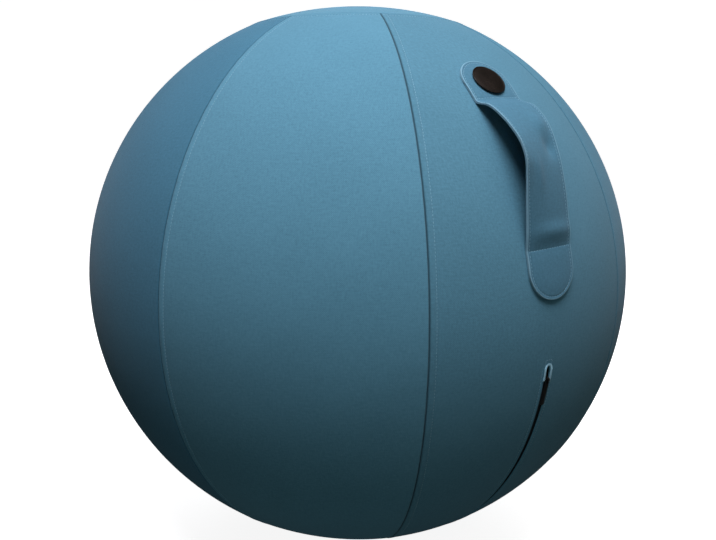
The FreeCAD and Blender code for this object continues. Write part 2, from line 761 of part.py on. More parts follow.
def make_zip_chain():
    """The two coils and the stops at their ends."""
    low = f"{CHAIN} - Sizes.coil_height / 2"
    high = f"{CHAIN} + Sizes.coil_height / 2"
    right = block(COIL_INNER, COIL_OUTER, low, high)
    for side_name, corners in (("right", right), ("left", mirrored(right))):
        coil = zip_bar("coil_" + side_name, corners, CHAIN_START_DROP, "Sizes.chain_end_drop")
        as_node(coil, "zip_coil_" + side_name)
    low = f"{CHAIN} - Sizes.stop_height / 2"
    high = f"{CHAIN} + Sizes.stop_height / 2"
    right = block(COIL_INNER, COIL_OUTER, low, high)
    start = f"({CHAIN_START_DROP} - {STOP_ANGLE})"
    stops = [
        zip_bar("stop_" + side_name, corners, start, CHAIN_START_DROP)
        for side_name, corners in (("right", right), ("left", mirrored(right)))
    ]
    as_node(group("top_stops", stops), "zip_top_stops")
    across = block(f"-{COIL_OUTER}", COIL_OUTER, low, high)
    finish = f"(Sizes.chain_end_drop + {STOP_ANGLE})"
    as_node(zip_bar("stop_bottom", across, "Sizes.chain_end_drop", finish), "zip_bottom_stop")


def make_slider():
    """Two flanged plates round the chain, joined by a post, with a loop for the pull."""
    half_width = f"({COIL_OUTER} + Sizes.slider_clearance + Sizes.slider_flange)"
    inside = f"({COIL_OUTER} + Sizes.slider_clearance)"
    lip = "(Sizes.tape_thickness / 2 + Sizes.slider_clearance)"
    upper = [
        (half_width, f"{CHAIN} + {PLATE_OUTER}"),
        (f"-{half_width}", f"{CHAIN} + {PLATE_OUTER}"),
        (f"-{half_width}", f"{CHAIN} + {lip}"),
        (f"-{inside}", f"{CHAIN} + {lip}"),
        (f"-{inside}", f"{CHAIN} + {PLATE_INNER}"),
        (inside, f"{CHAIN} + {PLATE_INNER}"),
        (inside, f"{CHAIN} + {lip}"),
        (half_width, f"{CHAIN} + {lip}"),
    ]
    lower = [
        (half_width, f"{CHAIN} - {lip}"),
        (inside, f"{CHAIN} - {lip}"),
        (inside, f"{CHAIN} - {PLATE_INNER}"),
        (f"-{inside}", f"{CHAIN} - {PLATE_INNER}"),
        (f"-{inside}", f"{CHAIN} - {lip}"),
        (f"-{half_width}", f"{CHAIN} - {lip}"),
        (f"-{half_width}", f"{CHAIN} - {PLATE_OUTER}"),
        (half_width, f"{CHAIN} - {PLATE_OUTER}"),
    ]
    start = f"(Sizes.slider_drop - {SLIDER_HALF_ANGLE})"
    finish = f"(Sizes.slider_drop + {SLIDER_HALF_ANGLE})"
    post_end = f"({start} + Sizes.slider_post_length * {DEGREES_PER_MM})"
    inset = "Sizes.slider_plate / 2"
    post = block(
        "-Sizes.slider_post_width / 2",
        "Sizes.slider_post_width / 2",
        f"{CHAIN} - {PLATE_INNER} - {inset}",
        f"{CHAIN} + {PLATE_INNER} + {inset}",
    )
    parts = [
        zip_bar("slider_upper_plate", upper, start, finish),
        zip_bar("slider_lower_plate", lower, start, finish),
        zip_bar("slider_post", post, start, post_end),
        make_bridge(),
    ]
    slider = doc.addObject("Part::MultiFuse", "slider_joined")
    slider.Shapes = parts
    hole = doc.addObject("Part::Cylinder", "bridge_hole")
    hole.setExpression("Radius", "Sizes.pin_radius + Sizes.pin_clearance")
    hole.setExpression("Height", "2 * Sizes.bridge_width")
    centre = front(-size("slider_drop")) * number(PIVOT) - X_AXIS * size("bridge_width")
    hole.Placement = Placement(
        centre + Vector(0, 0, number(CENTRE_HEIGHT)), Rotation(Z_AXIS, X_AXIS)
    )
    as_node(boolean("Cut", "slider_with_hole", slider, hole), "zip_slider")


def make_bridge():
    """The loop: a round-topped lug that stands up through the slit."""
    body = new_body("slider_bridge")
    foot = f"({CHAIN} + {PLATE_INNER} + Sizes.slider_plate / 2)"
    corners = [
        ("-Sizes.bridge_radius", foot),
        ("Sizes.bridge_radius", foot),
        ("Sizes.bridge_radius", PIVOT),
        ("0", f"{PIVOT} + Sizes.bridge_radius"),
        ("-Sizes.bridge_radius", PIVOT),
    ]
    arcs = {2: ("Sizes.bridge_radius", PIVOT), 3: ("Sizes.bridge_radius", PIVOT)}
    sketch = outline(body, "bridge_outline", "YZ_Plane", corners, arcs)
    pad = body.newObject("PartDesign::Pad", "bridge_pad")
    pad.Profile = sketch
    pad.Midplane = True
    pad.setExpression("Length", "Sizes.bridge_width")
    doc.recompute()
    put_at_centre(body, "90 + Sizes.slider_drop")
    return body


def make_pull():
    """A flat puller that ends in a fork with the pin across it."""
    body = new_body("pull")
    half = "(Sizes.pull_width / 2)"
    inside = f"({half} - Sizes.pull_tine)"
    top = "(Sizes.pull_thickness / 2)"
    shoulder = f"-(Sizes.pull_length - {half})"
    corners = [
        (f"-{half}", top),
        (f"-{half}", shoulder),
        ("0", "-Sizes.pull_length"),
        (half, shoulder),
        (half, top),
        (inside, top),
        (inside, "-Sizes.pull_fork_depth"),
        (f"-{inside}", "-Sizes.pull_fork_depth"),
        (f"-{inside}", top),
    ]
    arcs = {1: (half, shoulder), 2: (half, shoulder)}
    sketch = outline(body, "pull_outline", "XZ_Plane", corners, arcs)
    pad = body.newObject("PartDesign::Pad", "pull_pad")
    pad.Profile = sketch
    pad.Midplane = True
    pad.setExpression("Length", "Sizes.pull_thickness")
    circle = body.newObject("Sketcher::SketchObject", "pin_outline")
    circle.AttachmentSupport = [(origin_plane(body, "YZ_Plane"), "")]
    circle.MapMode = "FlatFace"
    circle.addGeometry(Part.Circle(ORIGIN, Z_AXIS, size("pin_radius")))
    circle.addConstraint(Sketcher.Constraint("Coincident", 0, 3, -1, 1))
    fix(circle, "Radius", (0,), "Sizes.pin_radius")
    pin = body.newObject("PartDesign::Pad", "pin_pad")
    pin.Profile = circle
    pin.Midplane = True
    pin.setExpression("Length", "Sizes.pull_width - Sizes.pull_tine")
    doc.recompute()
    reach = "(Sizes.pull_length - Sizes.pull_width / 2)"
    tip_level = f"({BALL} + Sizes.pull_tip_gap + Sizes.pull_thickness / 2)"
    sag = f"({PIVOT} + {reach}^2 / (2 * {PIVOT}) - {tip_level})"
    tilt = f"(asin({sag} / {reach}) / 1 deg)"
    centre = front(-size("slider_drop")) * number(PIVOT) + Vector(0, 0, number(CENTRE_HEIGHT))
    body.Placement = Placement(centre, Rotation(X_AXIS, number(f"Sizes.slider_drop + {tilt}")))
    as_node(body, "zip_pull")


def make_garage():
    """The fabric welt round the upper end of the slit: an upside-down V with its tip cut off."""
    body = new_body("garage_outline")
    inner = "Sizes.garage_opening"
    outer = "Sizes.garage_half_width"
    band = f"({outer} - {inner})"
    corners = [
        (f"-{outer}", "-Sizes.garage_legs"),
        (f"-{inner}", "-Sizes.garage_legs"),
        (f"-{inner}", f"-{inner}"),
        ("0", "0"),
        (inner, f"-{inner}"),
        (inner, "-Sizes.garage_legs"),
        (outer, "-Sizes.garage_legs"),
        (outer, f"-{inner}"),
        (band, "Sizes.garage_tip"),
        (f"-{band}", "Sizes.garage_tip"),
        (f"-{outer}", f"-{inner}"),
    ]
    sketch = outline(body, "garage_sketch", "XY_Plane", corners)
    pad = body.newObject("PartDesign::Pad", "garage_pad")
    pad.Profile = sketch
    pad.setExpression("Length", f"2 * {BALL}")
    doc.recompute()
    put_at_centre(body, "90 + Sizes.slit_top_drop")
    level = f"({BALL} + Sizes.soft_gap)"
    low = doc.addObject("Part::Sphere", "garage_underside")
    low.setExpression("Radius", level)
    low.setExpression("Placement.Base.z", CENTRE_HEIGHT)
    high = doc.addObject("Part::Sphere", "garage_outside")
    high.setExpression("Radius", f"{level} + Sizes.garage_thickness")
    high.setExpression("Placement.Base.z", CENTRE_HEIGHT)
    shell = boolean("Cut", "garage_shell", high, low)
    as_node(boolean("Common", "garage", body, shell), "zip_garage")


def valve_place():
    """Placement of the valve's pieces: their own Z runs out along the valve."""
    lean = Rotation(X_AXIS, 90 + size("valve_drop"))
    bearing = Rotation(Z_AXIS, size("valve_bearing"))
    return Placement(Vector(0, 0, number(CENTRE_HEIGHT)), bearing.multiply(lean))


VALVE_FLOOR = f"({BLADDER} - Sizes.valve_recess_depth)"
VALVE_UNDERSIDE = f"({VALVE_FLOOR} - Sizes.bladder_wall)"


def valve_piece(name, corners):
    """A solid of revolution about the valve's axis."""
    body = new_body(name)
    turn_profile(body, outline(body, name + "_profile", "XZ_Plane", corners), "V_Axis")
    body.Placement = valve_place()
    return body


def make_bladder():
    """The inflated inner ball: one even wall, with a channel behind the zip and a valve pocket."""
    inset = "(Sizes.cover_thickness + Sizes.soft_gap)"
    inner_inset = f"({inset} + Sizes.bladder_wall)"
    outside = round_piece("bladder_outside", *ball_profile(BLADDER, inset))
    inside = round_piece("bladder_inside", *ball_profile(BLADDER_INSIDE, inner_inset))
    far_out = f"{BALL} + {RECESS_HALF_WIDTH}"
    channel = zip_bar(
        "bladder_channel",
        block(f"-{RECESS_HALF_WIDTH}", RECESS_HALF_WIDTH, RECESS_FLOOR, far_out),
        RECESS_START_DROP,
        RECESS_END_DROP,
    )
    wall_angle = f"(Sizes.bladder_wall * {DEGREES_PER_MM})"
    keep_half = f"({RECESS_HALF_WIDTH} + Sizes.bladder_wall)"
    keep = zip_bar(
        "bladder_channel_wall",
        block(f"-{keep_half}", keep_half, f"{RECESS_FLOOR} - Sizes.bladder_wall", far_out),
        f"({RECESS_START_DROP} - {wall_angle})",
        f"({RECESS_END_DROP} + {wall_angle})",
    )
    above = f"{BALL} + Sizes.valve_recess_radius"
    pocket_radius = "Sizes.valve_recess_radius"
    wall_radius = f"{pocket_radius} + Sizes.bladder_wall"
    hole_radius = "Sizes.valve_seat_radius"
    below = f"{VALVE_UNDERSIDE} - Sizes.valve_recess_depth"
    pocket = valve_piece("valve_pocket", block("0", pocket_radius, VALVE_FLOOR, above))
    pocket_wall = valve_piece("valve_pocket_wall", block("0", wall_radius, VALVE_UNDERSIDE, above))
    hole = valve_piece("valve_hole", block("0", hole_radius, below, above))
    hollow = boolean("Cut", "hollow_behind_channel", inside, keep)
    hollow = boolean("Cut", "hollow_behind_pocket", hollow, pocket_wall)
    wall = boolean("Cut", "bladder_with_channel", outside, channel)
    wall = boolean("Cut", "bladder_with_pocket", wall, pocket)
    wall = boolean("Cut", "bladder_with_hollow", wall, hollow)
    as_node(boolean("Cut", "bladder_with_hole", wall, hole), "bladder")


def make_valve():
    """The sleeve welded into the bladder, and the stopper pushed into it."""
    bottom = f"({VALVE_FLOOR} - Sizes.valve_seat_length)"
    flange_low = f"({VALVE_UNDERSIDE} - Sizes.valve_flange_thickness)"
    seat = valve_piece(
        "seat",
        [
            ("Sizes.valve_bore_radius", bottom),
            ("Sizes.valve_seat_radius", bottom),
            ("Sizes.valve_seat_radius", flange_low),
            ("Sizes.valve_flange_radius", flange_low),
            ("Sizes.valve_flange_radius", VALVE_UNDERSIDE),
            ("Sizes.valve_seat_radius", VALVE_UNDERSIDE),
            ("Sizes.valve_seat_radius", VALVE_FLOOR),
            ("Sizes.valve_bore_radius", VALVE_FLOOR),
        ],
    )
    as_node(seat, "valve_seat")
    stem = "(Sizes.valve_bore_radius - Sizes.plug_clearance)"
    head_top = f"({VALVE_FLOOR} + Sizes.plug_head_thickness)"
    plug = valve_piece(
        "plug",
        [
            ("0", f"{VALVE_FLOOR} - Sizes.plug_stem_length"),
            (f"{stem} - Sizes.plug_taper", f"{VALVE_FLOOR} - Sizes.plug_stem_length"),
            (stem, VALVE_FLOOR),
            ("Sizes.plug_head_radius", VALVE_FLOOR),
            ("Sizes.plug_head_radius", f"{head_top} - Sizes.plug_taper"),
            ("Sizes.plug_head_radius - Sizes.plug_taper", head_top),
            ("0", head_top),
        ],
    )
    as_node(plug, "valve_plug")


as_node(make_front_gore(GORE_NAMES[0]), GORE_NAMES[0])
for gore_index, gore_name in enumerate(GORE_NAMES[1:], start=1):
    as_node(make_gore(gore_index, gore_name), gore_name)
as_node(make_top_cap(), "top_cap")
as_node(make_base_panel(), "base_panel")
as_node(make_seam_topstitching(), "seam_topstitching")
make_strap()
make_badge()
make_zip_tapes()
make_zip_chain()
make_slider()
make_pull()
make_garage()
as_node(make_zip_stitching(), "zip_stitching")
make_bladder()
make_valve()
doc.recompute()

for item in doc.Objects:
    faults = [state for state in item.State if state in ("Invalid", "Error")]
    if faults:
        raise RuntimeError("%s is %s" % (item.Label, faults))
for piece in nodes:
    if piece.Shape.isNull() or not piece.Shape.isValid():
        raise RuntimeError("%s has no valid shape" % piece.Label)

os.makedirs("parts", exist_ok=True)
for piece in nodes:
    piece.Shape.exportStep(os.path.join("parts", piece.Label + ".step"))
    print("%-24s %12.1f mm3  %d solid(s)" % (piece.Label, piece.Shape.Volume, len(piece.Shape.Solids)))
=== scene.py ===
import math
from math import pi, radians

import bmesh
import bpy
import numpy as np
from mathutils import Matrix, Vector


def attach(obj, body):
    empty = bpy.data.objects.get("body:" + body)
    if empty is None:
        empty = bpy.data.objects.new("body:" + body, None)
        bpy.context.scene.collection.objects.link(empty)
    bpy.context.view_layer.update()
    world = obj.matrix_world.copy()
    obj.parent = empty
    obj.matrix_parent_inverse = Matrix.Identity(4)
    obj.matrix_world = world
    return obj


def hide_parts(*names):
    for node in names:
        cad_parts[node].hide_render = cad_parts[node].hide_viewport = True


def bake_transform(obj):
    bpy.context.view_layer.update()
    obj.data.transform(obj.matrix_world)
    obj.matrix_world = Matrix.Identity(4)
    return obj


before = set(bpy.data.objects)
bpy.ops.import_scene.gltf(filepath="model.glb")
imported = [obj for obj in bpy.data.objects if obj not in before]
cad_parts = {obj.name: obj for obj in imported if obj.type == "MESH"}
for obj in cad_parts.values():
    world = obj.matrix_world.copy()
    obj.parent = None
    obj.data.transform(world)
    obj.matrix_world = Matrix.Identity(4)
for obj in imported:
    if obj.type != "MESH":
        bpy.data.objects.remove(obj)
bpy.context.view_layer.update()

# Balance ball chair: sewn cover, carry strap, round cap and zip, dressed round the CAD pieces.
# Lengths are metres. The front of the ball, with the strap and the zip, faces -Y.
MM = 0.001
BALL = 325 * MM  # its radius
COVER_INSIDE = BALL - 1.5 * MM
FLOOR_PATCH_RADIUS = 55 * MM
CENTRE = np.array([0, 0, math.sqrt(BALL**2 - FLOOR_PATCH_RADIUS**2)])
CROWN_DROP = 4 * MM
CAP_ANGLE = radians(22.5)

SIDES = "front front_right right back_right back back_left left front_left"
GORES = ["gore_" + side for side in SIDES.split()]
GORE_HALF = pi / len(GORES)

# Seams of the cover
SEAM_DEPTH = 1.3 * MM
SEAM_WIDTH = 0.75 * MM
# Width of the painted shade along the seams
SEAM_SHADE_WIDTH = 0.7 * MM
SEAM_PLY_RISE = 0.28 * MM
SEAM_PLY_EDGE = 1.2 * MM
SEAM_RIDGE = 1.3 * MM
STITCH_OFFSET = 6.5 * MM
STITCH_DIP = 0.35 * MM
STITCH_DIP_WIDTH = 0.7 * MM
STITCH_PITCH = 3.2 * MM
STITCH_LENGTH = 2.5 * MM
STITCH_RISE = 0.30 * MM
STITCH_SINK = 0.34 * MM
THREAD_RADIUS = 0.27 * MM
# Waves that the sewing thread draws into the cloth: height, two lengths, and reach from the seam
WAVE_HEIGHT = 0.10 * MM
WAVE_FINE = 3.1 * MM
WAVE_COARSE = 23 * MM
WAVE_REACH = 14 * MM
# Distances from a seam of the columns of faces beside it
EDGE_STEPS = np.array([0, 0.3, 0.6, 1, 1.5, 2.2, 3.2, 4.4, 5.4, 6, 6.5, 7, 7.6, 8.8, 11, 15]) * MM

# Slit over the zip: drops are degrees below the ball's middle, on the front meridian
SLIT_TOP_DROP = radians(5.7)
SLIT_BOTTOM_DROP = radians(63.5)
SLIT_HALF_TOP = 2.6 * MM
SLIT_HALF_BOTTOM = 1.5 * MM
SLIT_POINT = 3.5 * MM
LIP_DEPTH = 0.5 * MM
LIP_RISE = 0.3 * MM
LIP_ROLL = 0.45 * MM
LIP_SHOULDER = 1.6 * MM
LIP_FALL = 2.2 * MM
LIP_STITCH = 4.2 * MM
# The cloth gets thinner towards the slit's edge by this much, between these two distances from it
LIP_THINNING = 0.85 * MM
LIP_THIN = 0.8 * MM
LIP_THICK = 3.2 * MM
# Half width of the slit from which its lips are full
LIP_FADE = 0.6 * SLIT_HALF_BOTTOM
ZIP_BAR_BEYOND = 6 * MM
LIP_STEPS = np.array([0, 0.12, 0.35, 0.7, 1.1, 1.7, 2.4, 3.2, 3.8, 4.2, 4.6, 5.2, 6.2, 8, 11]) * MM

# Carry strap, latitudes above the ball's middle
STRAP_HALF = 28.5 * MM
UPPER_FOLD = radians(40.3)
LOWER_FOLD = radians(14.0)
UPPER_END = radians(44.1)
LOWER_END = radians(10.6)
STRAP_LEAN = radians(2.0)
STRAP_STRAIGHT = (UPPER_END - LOWER_END) * BALL
STRAP_EDGE_STITCH = 3 * MM
STRAP_FOLD_STITCH = 0.9 * MM
STRAP_STITCH_DIP = 0.28 * MM
STRAP_PLY = 1.1 * MM
LINING_LEVEL = 0.3 * MM
OUTER_LEVEL = 1.6 * MM
STRAP_PUFF = 0.45 * MM
STRAP_FULL = 14 * MM
STRAP_DIP_WIDTH = 0.6 * MM
FOLD_FLAT = 5 * MM
ARCH_RISE = 28 * MM
# Rim lighter from wear and a painted highlight: starts and is full at these distances from the edge
RIM_WEAR_AND_HIGHLIGHT_START = 1.4 * MM
RIM_WEAR_AND_HIGHLIGHT_FULL = 0.5 * MM

# Columns of faces between the close ones at the seams and at the slit
FIELD_COLUMNS = 22
SIDE_COLUMNS = 9
HALF_COLUMNS = len(EDGE_STEPS) + SIDE_COLUMNS + len(LIP_STEPS)
PANEL_TURNS = 256
PANEL_RINGS = 25
# Points along the lines that are sewn: long seams, end seams, slit and the bars at its ends
SEAM_POINTS = 900
END_POINTS = 88
SLIT_POINTS = 700
BAR_POINTS = 30


def front(latitude):
    """Unit vectors to points of the front meridian, in a last axis of three."""
    latitude = np.asarray(latitude, float)
    return np.stack([0 * latitude, -np.cos(latitude), np.sin(latitude)], -1)


def outwards(polar, bearing):
    """Unit vectors at an angle from the upper pole and a bearing from the front, to the right."""
    polar, bearing = np.broadcast_arrays(polar, bearing)
    reach = np.sin(polar)
    return np.stack([reach * np.sin(bearing), -reach * np.cos(bearing), np.cos(polar)], -1)


def smooth(value, low, high):
    """0 below low, 1 above high, and an even slope between."""
    share = np.clip((value - low) / (high - low), 0, 1)
    return share * share * (3 - 2 * share)


def bump(value, width):
    """1 at 0, and gone a little past width."""
    return np.exp(-((value / width) ** 2))


def unit(vectors):
    return vectors / np.linalg.norm(vectors, axis=-1, keepdims=True)


def uv_grid(across, along):
    """Cloth coordinates of a grid, one row of them to each point."""
    return np.stack(np.broadcast_arrays(across, along), -1).reshape(-1, 2)


def lengths_along(line):
    """Length of a line of points from its start to each point."""
    return np.concatenate([[0], np.cumsum(np.linalg.norm(np.diff(line, axis=0), axis=1))])


# Meshes

def faces_of(ids, closed=False):
    """Four-sided faces between the neighbours of a grid of vertex numbers."""
    if closed:
        ids = np.concatenate([ids, ids[:1]])
    a, b, c, d = ids[:-1, :-1], ids[:-1, 1:], ids[1:, 1:], ids[1:, :-1]
    return np.stack([a, b, c, d], -1).reshape(-1, 4)


def tidy_faces(faces):
    """The faces as lists, with the corners that fell together taken once."""
    kept = []
    for face in faces.tolist():
        corners = [c for k, c in enumerate(face) if c != face[k - 1]]
        if len(set(corners)) == len(corners) and len(corners) > 2:
            kept.append(corners)
    return kept


def add_object(name, data):
    """A new object at the origin with the given data."""
    made = bpy.data.objects.new(name, data)
    bpy.context.scene.collection.objects.link(made)
    return made


def fit(piece, body, node_name):
    """Lets a piece ride on its body in place of a CAD node."""
    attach(piece, body)
    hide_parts(node_name)


def new_object(name, points, faces, uv=None, material=None, sharp=50, shade=None):
    """A smooth mesh object at the origin, its faces turned outwards."""
    used, places = np.unique([c for face in faces for c in face], return_inverse=True)
    ends = np.cumsum([len(face) for face in faces])
    faces = [part.tolist() for part in np.split(places, ends[:-1])]
    mesh = bpy.data.meshes.new(name)
    mesh.from_pydata(points[used].tolist(), [], faces)
    if uv is not None:
        corners = np.empty(len(mesh.loops), np.int64)
        mesh.loops.foreach_get("vertex_index", corners)
        layer = mesh.uv_layers.new(name="cloth")
        layer.data.foreach_set("uv", uv[used][corners].astype(np.float32).ravel())
    if shade is not None:
        layer = mesh.attributes.new("seam_shade", "FLOAT", "POINT")
        layer.data.foreach_set("value", shade[used].astype(np.float32))
    mesh.shade_smooth()
    mesh.set_sharp_from_angle(angle=radians(sharp))
    if material is not None:
        mesh.materials.append(material)
    return add_object(name, mesh)


def cloth(name, outer, inner, faces, uv, material, shade=None):
    """A closed sheet of cloth between two layers of points, with painted shade in its seams."""
    count = len(outer)
    faces = tidy_faces(faces)
    edges = {(face[k - 1], face[k]) for face in faces for k in range(len(face))}
    rim = [(a, b) for a, b in edges if (b, a) not in edges]
    rim.sort()
    back = [[c + count for c in reversed(face)] for face in faces]
    walls = [[b, a, a + count, b + count] for a, b in rim]
    points = np.concatenate([outer, inner])
    shade = None if shade is None else np.concatenate([shade, shade])
    uv = np.concatenate([uv, uv])
    return new_object(name, points, faces + back + walls, uv, material, shade=shade)


def apply_modifiers(piece, name, material=None):
    """The piece as its modifiers make it, as a plain mesh. The first object goes."""
    graph = bpy.context.evaluated_depsgraph_get()
    mesh = bpy.data.meshes.new_from_object(piece.evaluated_get(graph))
    bpy.data.objects.remove(piece)
    mesh.name = name
    if material is not None:
        mesh.materials.clear()
        mesh.materials.append(material)
        mesh.polygons.foreach_set("material_index", np.zeros(len(mesh.polygons), np.int32))
    return add_object(name, mesh)


# Materials

def node(tree, kind, inputs=None, **settings):
    """A shader or geometry node with its settings, and its inputs by name or number."""
    made = tree.nodes.new(kind)
    for key, value in settings.items():
        setattr(made, key, value)
    for key, value in (inputs or {}).items():
        if isinstance(value, bpy.types.NodeSocket):
            tree.links.new(value, made.inputs[key])
        else:
            made.inputs[key].default_value = value
    return made


def new_material(name, **values):
    """A material with one Principled shader, whose plain values are set on its own sockets."""
    material = bpy.data.materials.new(name)
    material.use_nodes = True
    tree = material.node_tree
    shader = tree.nodes["Principled BSDF"]
    for key, value in values.items():
        shader.inputs[key.replace("_", " ")].default_value = value
    return material, tree, shader


def maths(tree, operation, first, second=None):
    inputs = {0: first}
    if second is not None:
        inputs[1] = second
    return node(tree, "ShaderNodeMath", inputs, operation=operation).outputs[0]


def scaled(tree, vector, scale):
    inputs = {0: vector, 1: scale}
    return node(tree, "ShaderNodeVectorMath", inputs, operation="MULTIPLY").outputs[0]


def noise_of(tree, vector, detail=3.0, roughness=0.5):
    """Noise from 0 to 1, whose grain is one unit of the vector."""
    inputs = {"Vector": vector, "Scale": 1.0, "Detail": detail, "Roughness": roughness}
    return node(tree, "ShaderNodeTexNoise", inputs).outputs["Fac"]


def mix_colours(tree, factor, first, second):
    inputs = {0: factor, 6: first, 7: second}
    return node(tree, "ShaderNodeMix", inputs, data_type="RGBA").outputs[2]


def contrast(tree, value, low, high):
    """Stretches the range from low to high to 0..1."""
    inputs = {"Value": value, "From Min": low, "From Max": high}
    return node(tree, "ShaderNodeMapRange", inputs).outputs["Result"]


def tinted(colour, tint):
    """The colour's red, green and blue, each times its share, and full alpha."""
    return (*(part * share for part, share in zip(colour, tint)), 1)


def emboss(tree, shader, height, distance):
    """Fine relief in a material's surface."""
    relief = node(tree, "ShaderNodeBump", {"Height": height, "Distance": distance})
    tree.links.new(relief.outputs[0], shader.inputs["Normal"])


def strap_rim_wear_and_highlight(tree, cloth_uv):
    """Rim's wear and painted highlight: 1 at the strap's edge and 0 inside it, from the distance to
    the strap's middle line.
    """
    across, along, _ = node(tree, "ShaderNodeSeparateXYZ", {0: cloth_uv}).outputs
    limits = {"Value": along, "Min": 0.0, "Max": STRAP_STRAIGHT}
    straight = node(tree, "ShaderNodeClamp", limits).outputs[0]
    beyond = maths(tree, "SUBTRACT", along, straight)
    squares = [maths(tree, "MULTIPLY", part, part) for part in (across, beyond)]
    reach = maths(tree, "SQRT", maths(tree, "ADD", *squares))
    return contrast(tree, reach, STRAP_HALF - RIM_WEAR_AND_HIGHLIGHT_START, STRAP_HALF - RIM_WEAR_AND_HIGHLIGHT_FULL)


# Cloth: yarn, the streaks of uneven yarn, mottle and clouds, and how much each counts in the colour
YARN = 0.8 * MM
YARN_RELIEF = 0.06 * MM
STREAK_WIDTH = 0.9 * MM
STREAK_LENGTH = 9 * MM
STREAK_SHARE = 0.6
STREAK_RELIEF = 0.8
MOTTLE_SIZE = 2.6 * MM
CLOUD_SIZE = 70 * MM
CLOUD_SHARE = 0.3
MELANGE_RANGE = (0.85, 1.65)
# Painted shade in the seams' clefts, as a share of the cloth's dark colour
CLEFT_SHADE = 0.35


def woven(name, dark, light, slub=1.0, worn_and_lit=None):
    """Plain-woven melange cloth: the yarns run along the piece's own UV directions, in metres."""
    material, tree, shader = new_material(
        name, Roughness=0.9, Sheen_Weight=0.08, Sheen_Roughness=0.5, Specular_IOR_Level=0.12
    )
    cloth_uv = node(tree, "ShaderNodeUVMap", uv_map="cloth").outputs["UV"]
    warp = noise_of(tree, scaled(tree, cloth_uv, (1 / STREAK_WIDTH, 1 / STREAK_LENGTH, 1)), 2.0)
    weft = noise_of(tree, scaled(tree, cloth_uv, (1 / STREAK_LENGTH, 1 / STREAK_WIDTH, 1)), 2.0)
    mottle = noise_of(tree, scaled(tree, cloth_uv, (1 / MOTTLE_SIZE,) * 3), 3.0, 0.6)
    cloud = noise_of(tree, scaled(tree, cloth_uv, (1 / CLOUD_SIZE,) * 3), 2.0)
    streaks = maths(tree, "ADD", warp, weft)
    grain = maths(tree, "ADD", maths(tree, "MULTIPLY", streaks, STREAK_SHARE * slub), mottle)
    tone = maths(tree, "ADD", grain, maths(tree, "MULTIPLY", cloud, CLOUD_SHARE))
    colour = mix_colours(tree, contrast(tree, tone, *MELANGE_RANGE), dark, light)
    # Painted shade in the seams' clefts, where the seam_shade attribute is 1
    painted_cleft_shade = node(tree, "ShaderNodeAttribute", attribute_name="seam_shade").outputs["Fac"]
    colour = mix_colours(tree, painted_cleft_shade, colour, tinted(dark, (CLEFT_SHADE,) * 3))
    if worn_and_lit is not None:
        # The strap's lighter rim: partly wear, partly a painted highlight where its edge catches
        # the light
        colour = mix_colours(tree, strap_rim_wear_and_highlight(tree, cloth_uv), colour, worn_and_lit)
    tree.links.new(colour, shader.inputs["Base Color"])
    yarns = {0: scaled(tree, cloth_uv, (pi / YARN,) * 3)}
    across, along, _ = node(tree, "ShaderNodeSeparateXYZ", yarns).outputs
    checks = maths(tree, "MULTIPLY", maths(tree, "SINE", across), maths(tree, "SINE", along))
    height = maths(tree, "ADD", checks, maths(tree, "MULTIPLY", streaks, STREAK_RELIEF))
    emboss(tree, shader, height, YARN_RELIEF)
    return material


def moulded(name, dark, light, grain=1.2 * MM, bump_height=0.01 * MM, **values):
    """Plastic, rubber, enamel or metal with a fine grain and a little wear in its gloss."""
    material, tree, shader = new_material(name, **values)
    place = node(tree, "ShaderNodeTexCoord").outputs["Object"]
    fine = noise_of(tree, scaled(tree, place, (1 / grain,) * 3), 4.0, 0.6)
    broad = noise_of(tree, scaled(tree, place, (1 / (18 * grain),) * 3), 3.0)
    shade = contrast(tree, maths(tree, "ADD", fine, broad), 0.7, 1.3)
    tree.links.new(mix_colours(tree, shade, dark, light), shader.inputs["Base Color"])
    base = values.get("Roughness", 0.5)
    wear = {"Value": broad, "From Min": 0.3, "From Max": 0.7}
    wear |= {"To Min": base * 0.8, "To Max": base * 1.25}
    gloss = node(tree, "ShaderNodeMapRange", wear).outputs["Result"]
    tree.links.new(gloss, shader.inputs["Roughness"])
    emboss(tree, shader, fine, bump_height)
    return material


PLY_LENGTH = 2.2 * MM
PLY_RELIEF = 0.05 * MM


def twisted_thread(name, dark, light):
    """Sewing thread: fine slanting plies along it."""
    material, tree, shader = new_material(name, Roughness=0.6, Sheen_Weight=0.3)
    place = node(tree, "ShaderNodeTexCoord").outputs["Object"]
    plies = {"Vector": place, "Scale": 1 / PLY_LENGTH, "Distortion": 1.0, "Detail": 1.0}
    wave = node(tree, "ShaderNodeTexWave", plies, bands_direction="DIAGONAL").outputs["Fac"]
    tree.links.new(mix_colours(tree, wave, dark, light), shader.inputs["Base Color"])
    emboss(tree, shader, wave, PLY_RELIEF)
    return material


COVER_DARK = (0.070, 0.190, 0.265)
COVER_LIGHT = (0.103, 0.265, 0.365)
# Gores tinted darker, partly by the nap of their cloth and partly as painted shade, as shares of
# the cover's colour
GORE_NAP_AND_SHADE_TINTS = {
    "gore_left": (0.60, 0.72, 0.78),
    "gore_front": (0.90, 0.90, 0.90),
    "gore_front_right": (0.86, 0.91, 0.93),
}


